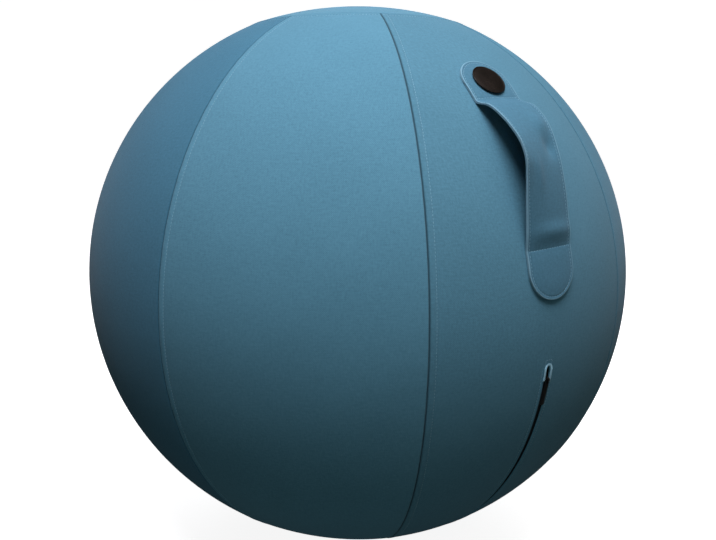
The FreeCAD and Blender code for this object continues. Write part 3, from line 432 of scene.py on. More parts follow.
COVER_CLOTH = woven("cover_melange", (*COVER_DARK, 1), (*COVER_LIGHT, 1))
GORE_NAP_AND_SHADE_CLOTHS = {
    name: woven("cover_melange_" + name, tinted(COVER_DARK, tint), tinted(COVER_LIGHT, tint))
    for name, tint in GORE_NAP_AND_SHADE_TINTS.items()
}
STRAP_TINT = (0.74, 0.76, 0.79)
STRAP_CLOTH = woven(
    "strap_melange",
    tinted(COVER_DARK, STRAP_TINT),
    tinted(COVER_LIGHT, STRAP_TINT),
    # Colour of the lighter rim, partly wear and partly painted highlight
    worn_and_lit=(0.190, 0.350, 0.450, 1),
)
WELT_CLOTH = woven("welt_melange", (0.260, 0.480, 0.620, 1), (0.380, 0.640, 0.780, 1))
TAPE_CLOTH = woven(
    "zip_tape_weave", (0.010, 0.016, 0.020, 1), (0.030, 0.040, 0.048, 1), slub=0.4
)
THREAD = twisted_thread("teal_thread", (0.120, 0.260, 0.345, 1), (0.200, 0.390, 0.500, 1))
BADGE_ENAMEL = moulded(
    "black_brown_enamel", (0.006, 0.005, 0.004, 1), (0.014, 0.010, 0.008, 1),
    Roughness=0.25, Specular_IOR_Level=0.15,
)
RIVET_STEEL = moulded(
    "rivet_steel", (0.40, 0.40, 0.41, 1), (0.62, 0.62, 0.63, 1), Metallic=1.0, Roughness=0.35
)
ZIP_BLACK = moulded(
    "zip_black_paint", (0.005, 0.005, 0.005, 1), (0.013, 0.012, 0.011, 1),
    Roughness=0.3, Specular_IOR_Level=0.3,
)
COIL_PLASTIC = moulded(
    "zip_coil_plastic", (0.012, 0.014, 0.016, 1), (0.030, 0.034, 0.038, 1), Roughness=0.5
)
BLADDER_VINYL = moulded(
    "soft_vinyl", (0.16, 0.17, 0.18, 1), (0.25, 0.26, 0.27, 1), 3 * MM, 0.05 * MM, Roughness=0.42
)
VALVE_PLASTIC = moulded(
    "white_plastic", (0.62, 0.62, 0.60, 1), (0.80, 0.80, 0.78, 1), Roughness=0.33
)


# Cover

def bearings_of_columns(polar, slit_half):
    """Bearings from the gore's middle of one row's columns, and where the two halves part."""
    reach = BALL * math.sin(polar)
    edge = np.arcsin(EDGE_STEPS / reach)
    left = edge - GORE_HALF
    if slit_half is None:
        fill = np.linspace(left[-1], -left[-1], FIELD_COLUMNS + 2)[1:-1]
        return np.concatenate([left, fill, -left[::-1]])
    lip = np.arcsin((LIP_STEPS + slit_half) / reach)
    fill = np.linspace(left[-1], -lip[-1], SIDE_COLUMNS + 2)[1:-1]
    half = np.concatenate([left, fill, -lip[::-1]])
    return np.concatenate([half, -half[::-1]])


def gore_rows():
    """Polar angles of the rows: close at the two end seams, then one to each stitch."""
    end = EDGE_STEPS / BALL
    first = CAP_ANGLE + end[-1]
    count = int((pi - 2 * first) * BALL / STITCH_PITCH)
    middle = np.linspace(first, pi - first, count + 1)[1:-1]
    top = CAP_ANGLE + end
    return np.concatenate([top, middle, (pi - top)[::-1]])


ROWS = gore_rows()


def slit_half_width(drop):
    """Half the opening of the slit at drops below the ball's middle."""
    length = (SLIT_BOTTOM_DROP - SLIT_TOP_DROP) * BALL
    along = (np.asarray(drop) - SLIT_TOP_DROP) * BALL
    width = SLIT_HALF_TOP + (SLIT_HALF_BOTTOM - SLIT_HALF_TOP) * along / length
    return width * np.sqrt(np.clip(np.minimum(along, length - along) / SLIT_POINT, 0, 1))


def seam_relief(from_left, from_right, from_end):
    """Height over the ball of seam grooves, the doubled ply beside them and the thread's dip."""
    nearest = np.minimum(np.minimum(from_left, from_right), from_end)
    stitched = np.minimum(from_left, from_end)
    single = smooth(stitched, STITCH_OFFSET - MM, STITCH_OFFSET + MM)
    ply = smooth(stitched, 0, SEAM_PLY_EDGE) * (1 - single)
    dip = bump(stitched - STITCH_OFFSET, STITCH_DIP_WIDTH)
    return SEAM_PLY_RISE * ply - SEAM_DEPTH * bump(nearest, SEAM_WIDTH) - STITCH_DIP * dip


def drawn_waves(along, distance, phase):
    """Slight waves that the sewing thread draws into the cloth beside a seam."""
    wave = np.sin(along / WAVE_FINE + phase) * np.sin(along / WAVE_COARSE + 2 * phase)
    return WAVE_HEIGHT * wave * np.exp(-distance / WAVE_REACH)


def lip_relief(from_edge, inside):
    """Height of the slit's soft lip, which rolls in at its edge and is sewn down beside it."""
    roll = -LIP_DEPTH * bump(from_edge, LIP_ROLL)
    puff = smooth(from_edge, 0, LIP_SHOULDER) * (1 - smooth(from_edge, LIP_FALL, LIP_STITCH))
    dip = -STITCH_DIP * bump(from_edge - LIP_STITCH, STITCH_DIP_WIDTH)
    return (roll + LIP_RISE * puff + dip) * inside


def from_end_seam(polar):
    """Distance along the ball from the nearer of the two end seams."""
    return BALL * np.minimum(polar - CAP_ANGLE, pi - CAP_ANGLE - polar)


def cover_height(index, polar, bearing):
    """Height of a gore's outside over the ball, at bearings from the gore's middle."""
    reach = BALL * np.sin(polar)
    from_left = reach * np.sin(GORE_HALF + bearing)
    from_right = reach * np.sin(GORE_HALF - bearing)
    along = BALL * polar
    height = seam_relief(from_left, from_right, from_end_seam(polar))
    height = height + drawn_waves(along, from_left, index)
    height = height + drawn_waves(along, from_right, index + 1)
    fullness = np.clip(1 - ((polar - pi / 2) / (pi / 2 - CAP_ANGLE)) ** 2, 0, 1)
    height = height + SEAM_RIDGE * (bearing / GORE_HALF) ** 2 * fullness
    if index == 0:
        from_edge, inside = beside_slit(polar, bearing)
        height = height + lip_relief(from_edge, inside)
    return height


def beside_slit(polar, bearing):
    """Distance from the slit's edge, and 1 where there is a slit beside."""
    half = slit_half_width(polar - pi / 2)
    inside = smooth(half, 0, LIP_FADE)
    return np.abs(BALL * np.sin(polar) * np.sin(bearing)) - half, inside


def make_gore(index):
    """One long gore. The front one, index 0, has the slit."""
    polar = ROWS[:, None]
    slit_halves = slit_half_width(ROWS - pi / 2)
    halves = slit_halves if index == 0 else [None] * len(ROWS)
    bearing = np.array([bearings_of_columns(*row) for row in zip(ROWS, halves)])
    height = cover_height(index, polar, bearing)
    rows, columns = bearing.shape
    ids = np.arange(rows * columns).reshape(rows, columns)
    faces = faces_of(ids)
    if index == 0:
        slit = slit_halves > 0
        ids[~slit, HALF_COLUMNS] = ids[~slit, HALF_COLUMNS - 1]
        faces = np.concatenate([faces_of(ids[:, :HALF_COLUMNS]), faces_of(ids[:, HALF_COLUMNS:])])
    direction = outwards(polar, bearing + 2 * GORE_HALF * index).reshape(-1, 3)
    outer = CENTRE + direction * (BALL + height.reshape(-1, 1))
    inside_radius = np.full(bearing.shape, COVER_INSIDE)
    if index == 0:
        from_edge, inside = beside_slit(polar, bearing)
        inside_radius += LIP_THINNING * (1 - smooth(from_edge, LIP_THIN, LIP_THICK)) * inside
    inner = CENTRE + direction * inside_radius.reshape(-1, 1)
    uv = uv_grid(BALL * np.sin(polar) * bearing, -BALL * polar)
    from_side = BALL * np.sin(polar) * np.sin(GORE_HALF - np.abs(bearing))
    # Painted shade along the seams, read by the cloth's material
    shade = bump(np.minimum(from_side, from_end_seam(polar)), SEAM_SHADE_WIDTH).reshape(-1)
    # Some gores take a darker cloth: partly their nap, partly painted shade
    finish = GORE_NAP_AND_SHADE_CLOTHS.get(GORES[index], COVER_CLOTH)
    piece = cloth("cover_" + GORES[index], outer, inner, faces[:, ::-1], uv, finish, shade)
    fit(piece, "cover", GORES[index])


def crown(reach, pole, seam_angle, radius):
    """Height over the ball's middle of an arc from the pole to the seam circle."""
    seam_reach = radius * math.sin(seam_angle)
    rise = pole - radius * math.cos(seam_angle)
    arc = (seam_reach**2 + rise**2) / (2 * rise)
    return pole - arc + np.sqrt(arc**2 - reach**2)


def make_end_panel(name, node_name, side):
    """The round panel at the top, or with side -1 the one that stands on the floor."""
    field = np.linspace(EDGE_STEPS[-1], CAP_ANGLE * BALL, PANEL_RINGS + 1)[1:]
    steps = np.concatenate([EDGE_STEPS, field]) / BALL
    polar = (CAP_ANGLE - steps)[None, :]
    angle = np.linspace(0, 2 * pi, PANEL_TURNS, endpoint=False)[:, None]
    reach = BALL * np.sin(polar)
    groove = SEAM_DEPTH * bump(steps * BALL, SEAM_WIDTH)
    if side > 0:
        high = crown(reach, BALL - CROWN_DROP, CAP_ANGLE, BALL)
    else:
        high = np.minimum(np.sqrt(BALL**2 - reach**2), CENTRE[2])
    layers = []
    for level in (high - groove * np.cos(polar), high - (BALL - COVER_INSIDE)):
        points = [reach * np.cos(angle), reach * np.sin(angle), side * level]
        layers.append(CENTRE + np.stack(np.broadcast_arrays(*points), -1))
    ids = np.arange(PANEL_TURNS * len(steps)).reshape(PANEL_TURNS, len(steps))
    ids[:, -1] = ids[0, -1]
    faces = faces_of(ids, closed=True)
    if side > 0:
        faces = faces[:, ::-1]
    uv = layers[0][..., :2].reshape(-1, 2)
    # Painted shade round the panel's seam, read by the cloth's material
    shade = np.broadcast_to(bump(steps * BALL, SEAM_SHADE_WIDTH), ids.shape).reshape(-1)
    outer, inner = (layer.reshape(-1, 3) for layer in layers)
    piece = cloth(name, outer, inner, faces, uv, COVER_CLOTH, shade)
    fit(piece, "cover", node_name)


for gore_index in range(len(GORES)):
    make_gore(gore_index)
make_end_panel("cover_top_panel", "top_cap", 1)
make_end_panel("cover_base_panel", "base_panel", -1)


# Sewing: every stitch is a short arched length of thread

def grow(name, places, edges, directions, tree, material, **sizes):
    """What a Geometry Nodes tree makes on points, which carry named directions, as a mesh."""
    mesh = bpy.data.meshes.new(name)
    mesh.from_pydata(places.tolist(), edges, [])
    for key, vectors in directions.items():
        layer = mesh.attributes.new(key, "FLOAT_VECTOR", "POINT")
        layer.data.foreach_set("vector", unit(vectors).astype(np.float32).ravel())
    piece = add_object(name, mesh)
    modifier = piece.modifiers.new(tree.name, "NODES")
    modifier.node_group = tree
    inputs = {"material": material, **sizes}
    for socket in tree.interface.items_tree:
        key = socket.name.replace(" ", "_").lower()
        if key in inputs:
            modifier[socket.identifier] = inputs[key]
    return apply_modifiers(piece, name, material)


def new_tree(name, *sizes):
    """A Geometry Nodes tree with named sizes and a material, and its input and output nodes."""
    tree = bpy.data.node_groups.new(name, "GeometryNodeTree")
    tree.interface.new_socket("Geometry", in_out="INPUT", socket_type="NodeSocketGeometry")
    tree.interface.new_socket("Geometry", in_out="OUTPUT", socket_type="NodeSocketGeometry")
    for key, kind in [("material", "Material")] + [(size, "Float") for size in sizes]:
        label = key.replace("_", " ").title()
        tree.interface.new_socket(label, in_out="INPUT", socket_type="NodeSocket" + kind)
    return tree, node(tree, "NodeGroupInput").outputs, node(tree, "NodeGroupOutput")


def finish_tree(tree, geometry, material, output):
    """Ends a tree in real, smooth geometry with its material."""
    real = node(tree, "GeometryNodeRealizeInstances", {0: geometry}).outputs[0]
    even = node(tree, "GeometryNodeSetShadeSmooth", {0: real}).outputs[0]
    done = node(tree, "GeometryNodeSetMaterial", {0: even, "Material": material}).outputs[0]
    tree.links.new(done, output.inputs[0])


def attribute(tree, name):
    """The vector that each point carries under a name."""
    kind = "GeometryNodeInputNamedAttribute"
    return node(tree, kind, {"Name": name}, data_type="FLOAT_VECTOR").outputs["Attribute"]


def thick_line(tree, path, radius):
    """A round closed tube along a curve."""
    inputs = {"Resolution": 6, "Radius": radius}
    section = node(tree, "GeometryNodeCurvePrimitiveCircle", inputs).outputs[0]
    inputs = {"Curve": path, "Profile Curve": section, "Fill Caps": True}
    return node(tree, "GeometryNodeCurveToMesh", inputs).outputs[0]


def point(tree, x=0.0, z=0.0):
    return node(tree, "ShaderNodeCombineXYZ", {0: x, 2: z}).outputs[0]


def stitch_tree():
    """Stands one arched stitch on each point, turned along the seam and away from the cloth."""
    tree, given, output = new_tree("stitches", "stitch_length", "thread_radius", "rise", "sink")
    half = maths(tree, "MULTIPLY", given["Stitch Length"], 0.5)
    low = maths(tree, "MULTIPLY", given["Sink"], -1.0)
    bow = {
        "Resolution": 4,
        "Start": point(tree, maths(tree, "MULTIPLY", half, -1.0), z=low),
        "Middle": point(tree, z=given["Rise"]),
        "End": point(tree, half, z=low),
    }
    path = node(tree, "GeometryNodeCurveQuadraticBezier", bow).outputs[0]
    stitch = thick_line(tree, path, given["Thread Radius"])
    align = "FunctionNodeAlignRotationToVector"
    along = node(tree, align, {"Vector": attribute(tree, "along")}, axis="X").outputs[0]
    upright = {"Rotation": along, "Vector": attribute(tree, "outwards")}
    turned = node(tree, align, upright, axis="Z", pivot_axis="X").outputs[0]
    inputs = {"Points": given["Geometry"], "Instance": stitch, "Rotation": turned}
    placed = node(tree, "GeometryNodeInstanceOnPoints", inputs).outputs[0]
    finish_tree(tree, placed, given["Material"], output)
    return tree


STITCHES = stitch_tree()


def places_along(line, normals, pitch):
    """Evenly spaced places on a line of points, its direction and the outward one at each."""
    lengths = lengths_along(line)
    count = max(1, round(lengths[-1] / pitch))
    at = (np.arange(count) + 0.5) / count * lengths[-1]

    def read(values, where):
        return np.stack([np.interp(where, lengths, values[:, k]) for k in range(3)], -1)

    reach = pitch / 8
    return read(line, at), read(line, at + reach) - read(line, at - reach), read(normals, at)


def sew(name, lines):
    """One mesh of stitches along several lines, each given as points and outward directions."""
    parts = [places_along(line, normals, STITCH_PITCH) for line, normals in lines]
    places, along, normals = (np.concatenate(column) for column in zip(*parts))
    return grow(
        name, places, [], {"along": along, "outwards": normals}, STITCHES, THREAD, rise=STITCH_RISE,
        sink=STITCH_SINK, stitch_length=STITCH_LENGTH, thread_radius=THREAD_RADIUS,
    )


def line_on_gore(index, polar, bearing):
    """A line on one gore's outside, as points and outward directions."""
    direction = outwards(polar, bearing + 2 * GORE_HALF * index)
    height = cover_height(index, polar, bearing)
    return CENTRE + direction * (BALL + height)[:, None], direction


def make_seam_stitching():
    """Topstitching beside each long seam, and round both end panels."""
    lines = []
    ring = CAP_ANGLE + STITCH_OFFSET / BALL
    start = ring + STITCH_PITCH / 2 / BALL
    for index in range(len(GORES)):
        polar = np.linspace(start, pi - start, SEAM_POINTS)
        edge = np.arcsin(STITCH_OFFSET / (BALL * np.sin(polar)))
        lines.append(line_on_gore(index, polar, edge - GORE_HALF))
        bearing = np.linspace(-GORE_HALF, GORE_HALF, END_POINTS + 2)[1:-1]
        for end in (ring, pi - ring):
            lines.append(line_on_gore(index, np.full(END_POINTS, end), bearing))
    piece = sew("seam_topstitching_thread", lines)
    fit(piece, "cover", "seam_topstitching")


def make_slit_stitching():
    """The line that holds the zip tapes to the cover, round the slit."""
    beyond = ZIP_BAR_BEYOND / BALL
    drop = np.linspace(SLIT_TOP_DROP - beyond, SLIT_BOTTOM_DROP + beyond, SLIT_POINTS)
    reach = BALL * np.cos(drop)
    bearing = np.arcsin((slit_half_width(drop) + LIP_STITCH) / reach)
    lines = [line_on_gore(0, drop + pi / 2, side * bearing) for side in (-1, 1)]
    for row, edge in ((drop[0], bearing[0]), (drop[-1], bearing[-1])):
        across = np.linspace(-edge, edge, BAR_POINTS)
        lines.append(line_on_gore(0, np.full(BAR_POINTS, row + pi / 2), across))
    piece = sew("zip_tape_stitches", lines)
    fit(piece, "cover", "zip_stitching")


make_seam_stitching()
make_slit_stitching()


# Carry strap: two layers of the cover's cloth, sewn flat at both ends and arched between them

# Heights of the arch's left edge, middle and right edge as shares of the rise, at even steps from
# the upper to the lower fold
ARCH = np.array([
    [0, 0.40, 0.65, 0.83, 0.96, 0.93, 0.71, 0.49, 0.31, 0.15, 0],
    [0, 0.36, 0.54, 0.63, 0.64, 0.59, 0.48, 0.36, 0.24, 0.12, 0],
    [0, 0.36, 0.53, 0.58, 0.55, 0.48, 0.38, 0.28, 0.18, 0.09, 0],
])
ARCH_STATIONS = np.arange(11) / 10

# Soft dents and, with a depth below 0, ridges of the worn strap: depth, distance to the right of
# its middle, latitude, and half widths across and along
STRAP_CREASES = np.array([
    (3.4, 16, 29.3, 7.5, 10),
    (-2.2, 14, 33.4, 8, 9),
    (-1.5, -9, 25.0, 4.5, 14),
    (-1.8, 8, 16.4, 26, 7),
]) * (MM, MM, radians(1), MM, MM)
# Shares of the way between the folds at which the creases are full and start to end
CREASE_START = 0.06
CREASE_END = 0.96

# Insets and heights in mm of the rings round the strap: underside, edge, and insets of the top
UNDERSIDE = [(inset, 0) for inset in (28.5, 24, 18, 12, 8, 5, 3, 1.5, 0.6)]
ROUNDED_EDGE = [(0.25, 0.05), (0.06, 0.25), (0, 0.55), (0.06, 0.85), (0.25, 1.05), (0.6, 1.1)]
TOPSIDE = [1.0, 1.6, 2.2, 2.6, 3.0, 3.4, 3.8, 4.6, 6, 8, 11, 14, 17, 20, 23, 26, 28.5]


def through(stations, values, at):
    """A smooth curve through the values, level at its first station."""
    slopes = np.gradient(values, stations)
    slopes[0] = 0
    k = np.clip(np.searchsorted(stations, at, side="right") - 1, 0, len(stations) - 2)
    width = stations[k + 1] - stations[k]
    t = (at - stations[k]) / width
    start = (1 + 2 * t) * (1 - t) ** 2 * values[k] + t * (1 - t) ** 2 * width * slopes[k]
    end = t * t * (3 - 2 * t) * values[k + 1] + t * t * (t - 1) * width * slopes[k + 1]
    return start + end


def arch_height(across, latitude):
    """Height of the free strap over the cover."""
    share = np.clip((UPPER_FOLD - latitude) / (UPPER_FOLD - LOWER_FOLD), 0, 1)
    left, middle, right = (through(ARCH_STATIONS, heights, share) for heights in ARCH)
    side = across / STRAP_HALF
    tilt = (right - left) / 2 * side
    arch = ARCH_RISE * (middle + tilt + ((left + right) / 2 - middle) * side**2)
    free = smooth(share, 0, CREASE_START) * (1 - smooth(share, CREASE_END, 1))
    for depth, middle_across, middle_latitude, width, length in STRAP_CREASES:
        beyond = (latitude - middle_latitude) * BALL
        arch = arch - depth * bump(across - middle_across, width) * bump(beyond, length) * free
    return arch


STRAP_TURN = np.array(Matrix.Rotation(STRAP_LEAN, 3, Vector(front(LOWER_END))))


def on_strap(across, along, height):
    """Points over the ball: across the strap, along it from its lower end's middle, and out."""
    latitude = LOWER_END + along / BALL
    radius = BALL + height + arch_height(across, latitude)
    level = front(latitude) * np.sqrt(radius**2 - across**2)[..., None]
    level[..., 0] += across
    return CENTRE + level @ STRAP_TURN.T


def strap_normal(across, along, height):
    """Outward direction of the strap's face."""
    step = 0.2 * MM
    sideways = on_strap(across + step, along, height) - on_strap(across - step, along, height)
    upwards = on_strap(across, along + step, height) - on_strap(across, along - step, height)
    return unit(np.cross(sideways, upwards))


def fold_lines():
    """Where the stitched lines cross the strap, just inside its two sewn ends."""
    lower = (LOWER_FOLD - LOWER_END) * BALL - STRAP_FOLD_STITCH
    upper = (UPPER_FOLD - LOWER_END) * BALL + STRAP_FOLD_STITCH
    return lower, upper


def strap_rows():
    """Rows along the strap, close beside the two stitched lines."""
    near = np.array([0.45, 0.9, 1.5, 2.3, 3.4, 5]) * MM
    near = np.concatenate([-near[::-1], [0], near])
    lower, upper = (line + near for line in fold_lines())
    gaps = [(0, lower[0], 8), (lower[-1], upper[0], 72), (upper[-1], STRAP_STRAIGHT, 9)]
    spans = [np.linspace(low, high, count) for low, high, count in gaps]
    return np.concatenate([spans[0][:-1], lower, spans[1][1:-1], upper, spans[2][1:]])


def strap_ring(inset, rows, end_steps=26):
    """The strap's outline drawn in by inset: right side, upper end, left side, lower end."""
    half = STRAP_HALF - inset
    turn = np.linspace(0, pi, end_steps)[1:-1]
    across = [half + 0 * rows, half * np.cos(turn), -half + 0 * rows, -half * np.cos(turn)]
    along = [rows, STRAP_STRAIGHT + half * np.sin(turn), rows[::-1], -half * np.sin(turn)]
    return np.concatenate(across), np.concatenate(along)


def strap_dips(inset, along):
    """The stitching's dimples in the strap, and the slight fullness of the cloth between them."""
    field = smooth(inset, STRAP_EDGE_STITCH, STRAP_FULL)
    dip = bump(inset - STRAP_EDGE_STITCH, STRAP_DIP_WIDTH)
    for line in fold_lines():
        inside = smooth(inset, STRAP_EDGE_STITCH - MM, STRAP_EDGE_STITCH)
        dip = np.maximum(dip, bump(along - line, STRAP_DIP_WIDTH) * inside)
        field = field * (1 - bump(along - line, FOLD_FLAT))
    return STRAP_PUFF * field - STRAP_STITCH_DIP * dip


def strap_layer(name, level, puffed):
    """One layer of the strap as a closed sheet of cloth with a rounded edge."""
    rows = strap_rows()
    rings = [(inset * MM, height * MM, 0.0) for inset, height in UNDERSIDE + ROUNDED_EDGE]
    rings += [(inset * MM, STRAP_PLY, puffed) for inset in TOPSIDE]
    points, uv = [], []
    for inset, height, dressed in rings:
        across, along = strap_ring(inset, rows)
        lift = level + height + dressed * strap_dips(inset, along)
        points.append(on_strap(across, along, lift))
        uv.append(np.stack([across, along], -1))
    count = len(points[0])
    ids = np.arange(len(rings) * count).reshape(len(rings), count)
    ends = (count - 2 * len(rows)) // 2
    for spine in (ids[0], ids[-1]):
        up, left = spine[: len(rows)].copy(), slice(len(rows) + ends, 2 * len(rows) + ends)
        spine[len(rows) : len(rows) + ends] = up[-1]
        spine[left] = up[::-1]
        spine[2 * len(rows) + ends :] = up[0]
    faces = tidy_faces(faces_of(ids.T, closed=True))
    return new_object(name, np.concatenate(points), faces, np.concatenate(uv), STRAP_CLOTH)


def strap_length(level):
    """Length of a layer along its middle, from tip to tip."""
    along = np.linspace(-STRAP_HALF, STRAP_STRAIGHT + STRAP_HALF, 400)
    return float(lengths_along(on_strap(0 * along, along, level))[-1])


# CAD nodes of the handle that the strap's layers stand in for
STRAP_NODES = ("handle_upper", "handle_grip", "handle_lower")
RIVET_HOLE = 2.3 * MM
FLANGE_HOLE = 7.3 * MM
DRILL_STEPS = 48
DRILL_LENGTH = 40 * MM


def drill(piece, radius):
    """Cuts the rivet's hole through a layer of the strap."""
    bpy.ops.mesh.primitive_cylinder_add(vertices=DRILL_STEPS, radius=radius, depth=DRILL_LENGTH)
    cutter = bpy.context.object
    axis = STRAP_TURN @ front(UPPER_END)
    cutter.rotation_euler = Vector(axis).to_track_quat("Z", "Y").to_euler()
    cutter.location = Vector(CENTRE + axis * BALL)
    cut = piece.modifiers.new("rivet_hole", "BOOLEAN")
    cut.operation = "DIFFERENCE"
    cut.solver = "EXACT"
    cut.object = cutter
    bpy.context.view_layer.update()
    drilled = apply_modifiers(piece, piece.name)
    bpy.data.objects.remove(cutter)
    return drilled


def finish_strap_piece(piece, slot, *nodes):
    """Bakes the piece's place into its mesh and hides the CAD nodes it stands in for."""
    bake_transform(piece)
    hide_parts(*nodes)


def make_strap():
    """Outer layer and lining of the strap, each in one length."""
    for name, level, puffed, hole, suffix, under in (
        ("strap_outer", OUTER_LEVEL, 1.0, RIVET_HOLE, "", "strap_lining"),
        ("strap_lining", LINING_LEVEL, 0.0, FLANGE_HOLE, "_lining", "cover_gore_front"),
    ):
        piece = drill(strap_layer(name, level, puffed), hole)
        length = strap_length(level)
        finish_strap_piece(piece, "strap_fabric", *(part + suffix for part in STRAP_NODES))


def make_strap_stitching():
    """Topstitching all round the strap and across both its folds."""
    across, along = strap_ring(STRAP_EDGE_STITCH, np.linspace(0, STRAP_STRAIGHT, 500), 160)
    across, along = np.append(across, across[0]), np.append(along, along[0])
    runs = [(across, along)]
    half = STRAP_HALF - STRAP_EDGE_STITCH
    for line in fold_lines():
        runs.append((np.linspace(-half, half, 60)[1:-1], np.full(58, line)))
    height = OUTER_LEVEL + STRAP_PLY - STRAP_STITCH_DIP
    lines = [(on_strap(*run, height), strap_normal(*run, height)) for run in runs]
    piece = sew("strap_stitches", lines)
    finish_strap_piece(piece, "thread", "handle_end_stitching")


make_strap()
make_strap_stitching()


# Round cap on the strap's upper end, its face left bare: radius and distance from the ball's middle

CAP_PROFILE = np.array([
    (0, 327.75), (15.9, 327.75), (16.3, 327.85), (16.7, 328.1), (17.3, 328.8), (17.65, 329.2),
    (17.7, 329.45), (17.55, 329.7), (17.2, 329.85), (16.7, 329.8), (16.4, 329.62), (16.1, 329.55),
    (15.8, 329.6), (12, 329.8), (6, 329.95), (0, 330.0),
]) * MM


def lathe(profile, axis, steps=96):
    """Points and faces of a closed solid of revolution about a line through the ball's centre."""
    side = unit(np.cross(axis, [1.0, 0, 0]))
    turn = np.linspace(0, 2 * pi, steps, endpoint=False)
    radial = np.cos(turn)[:, None] * np.cross(side, axis) + np.sin(turn)[:, None] * side
    points = profile[:, 0, None, None] * radial + profile[:, 1, None, None] * axis
    ids = np.arange(len(profile) * steps).reshape(len(profile), steps)
    ids[0], ids[-1] = ids[0, 0], ids[-1, 0]
    return CENTRE + points.reshape(-1, 3), tidy_faces(faces_of(ids.T, closed=True)[:, ::-1])


def make_badge():
    points, faces = lathe(CAP_PROFILE, STRAP_TURN @ front(UPPER_END))
    piece = new_object("round_cap", points, faces, None, BADGE_ENAMEL, sharp=60)
    fit(piece, "cover", "badge_cap")


make_badge()


# Zip: two woven tapes with a wound coil along each, the welt at the top, slider and puller

TAPE_START = radians(4.47)
TAPE_END = radians(64.73)
TAPE_SECTION = np.array([
    (14.0, 322.90), (12.6, 322.93), (10.8, 322.96), (8.5, 322.90), (7.6, 322.45),
    (6.6, 321.5), (5.7, 320.95), (4.4, 320.90), (3.1, 320.90),
]) * MM
TAPE_ROWS = 220
TAPE_THICKNESS = 0.6 * MM
COIL_START = radians(7.15)
COIL_END = radians(60.0)
COIL_MIDDLE = 2.0 * MM
COIL_LEVEL = 320.6 * MM
COIL_PITCH = 1.3 * MM
COIL_SIZE = 2.2 * MM
COIL_WIRE = 0.3 * MM
COIL_POINTS = 10


def make_tape(name, side, node_name):
    """A tape swept along the slit, stepped down to its coil."""
    drops = np.linspace(TAPE_START, TAPE_END, TAPE_ROWS)
    direction = front(-drops)[:, None, :]
    section = TAPE_SECTION if side > 0 else TAPE_SECTION[::-1]
    layers = []
    for thickness in (0, TAPE_THICKNESS):
        points = direction * (section[:, 1] - thickness)[None, :, None]
        points[..., 0] += side * section[:, 0]
        layers.append((CENTRE + points).reshape(-1, 3))
    ids = np.arange(len(drops) * len(section)).reshape(len(drops), len(section))
    across = lengths_along(section)
    along = COIL_LEVEL * drops
    uv = uv_grid(across, along[:, None])
    piece = cloth(name, layers[0], layers[1], faces_of(ids), uv, TAPE_CLOTH)
    fit(piece, "cover", node_name)


def coil_tree():
    """Winds a path of points into a coil: each point moves out by its place in the turn."""
    tree, given, output = new_tree("wound_coil", "coil_size", "wire_radius", "points_per_turn")
    count = node(tree, "GeometryNodeInputIndex").outputs[0]
    turns = maths(tree, "DIVIDE", count, given["Points Per Turn"])
    angle = maths(tree, "MULTIPLY", turns, 2 * pi)
    reach = maths(tree, "MULTIPLY", given["Coil Size"], 0.5)
    reach = maths(tree, "SUBTRACT", reach, given["Wire Radius"])
    offsets = []
    for name, wave in (("across", "COSINE"), ("outwards", "SINE")):
        amount = maths(tree, "MULTIPLY", maths(tree, wave, angle), reach)
        inputs = {0: attribute(tree, name), "Scale": amount}
        offsets.append(node(tree, "ShaderNodeVectorMath", inputs, operation="SCALE").outputs[0])
    inputs = dict(enumerate(offsets))
    offset = node(tree, "ShaderNodeVectorMath", inputs, operation="ADD").outputs[0]
    inputs = {"Geometry": given["Geometry"], "Offset": offset}
    wound = node(tree, "GeometryNodeSetPosition", inputs).outputs[0]
    path = node(tree, "GeometryNodeMeshToCurve", {0: wound}).outputs[0]
    finish_tree(tree, thick_line(tree, path, given["Wire Radius"]), given["Material"], output)
    return tree


COILS = coil_tree()


def make_coil(name, side, node_name):
    """The wound plastic coil along one tape."""
    length = (COIL_END - COIL_START) * COIL_LEVEL
    count = int(length / COIL_PITCH) * COIL_POINTS
    drops = np.linspace(COIL_START, COIL_END, count)
    out = front(-drops)
    places = CENTRE + out * COIL_LEVEL + np.array([side * COIL_MIDDLE, 0, 0])
    edges = [(k, k + 1) for k in range(count - 1)]
    directions = {"across": np.tile([float(side), 0, 0], (count, 1)), "outwards": out}
    piece = grow(
        name, places, edges, directions, COILS, COIL_PLASTIC,
        coil_size=COIL_SIZE, wire_radius=COIL_WIRE, points_per_turn=float(COIL_POINTS),
    )
    fit(piece, "cover", node_name)


WELT_HALF = 3.9 * MM
WELT_WIDTH = 2.3 * MM
WELT_THICKNESS = 1.1 * MM
WELT_LEVEL = 325.3 * MM
WELT_ARCH = (-2.9 * MM, 4.4 * MM)
WELT_LEGS = 15 * MM
WELT_LEG_ROWS = 25
WELT_ARCH_ROWS = 41
WELT_RING = 20
# Roundness of the welt's section, how much lower its arch is, and the rows over which its ends thin
WELT_ROUNDING = 0.7
WELT_SINK = 0.6
WELT_ENDS = (-1.5, 2.5)


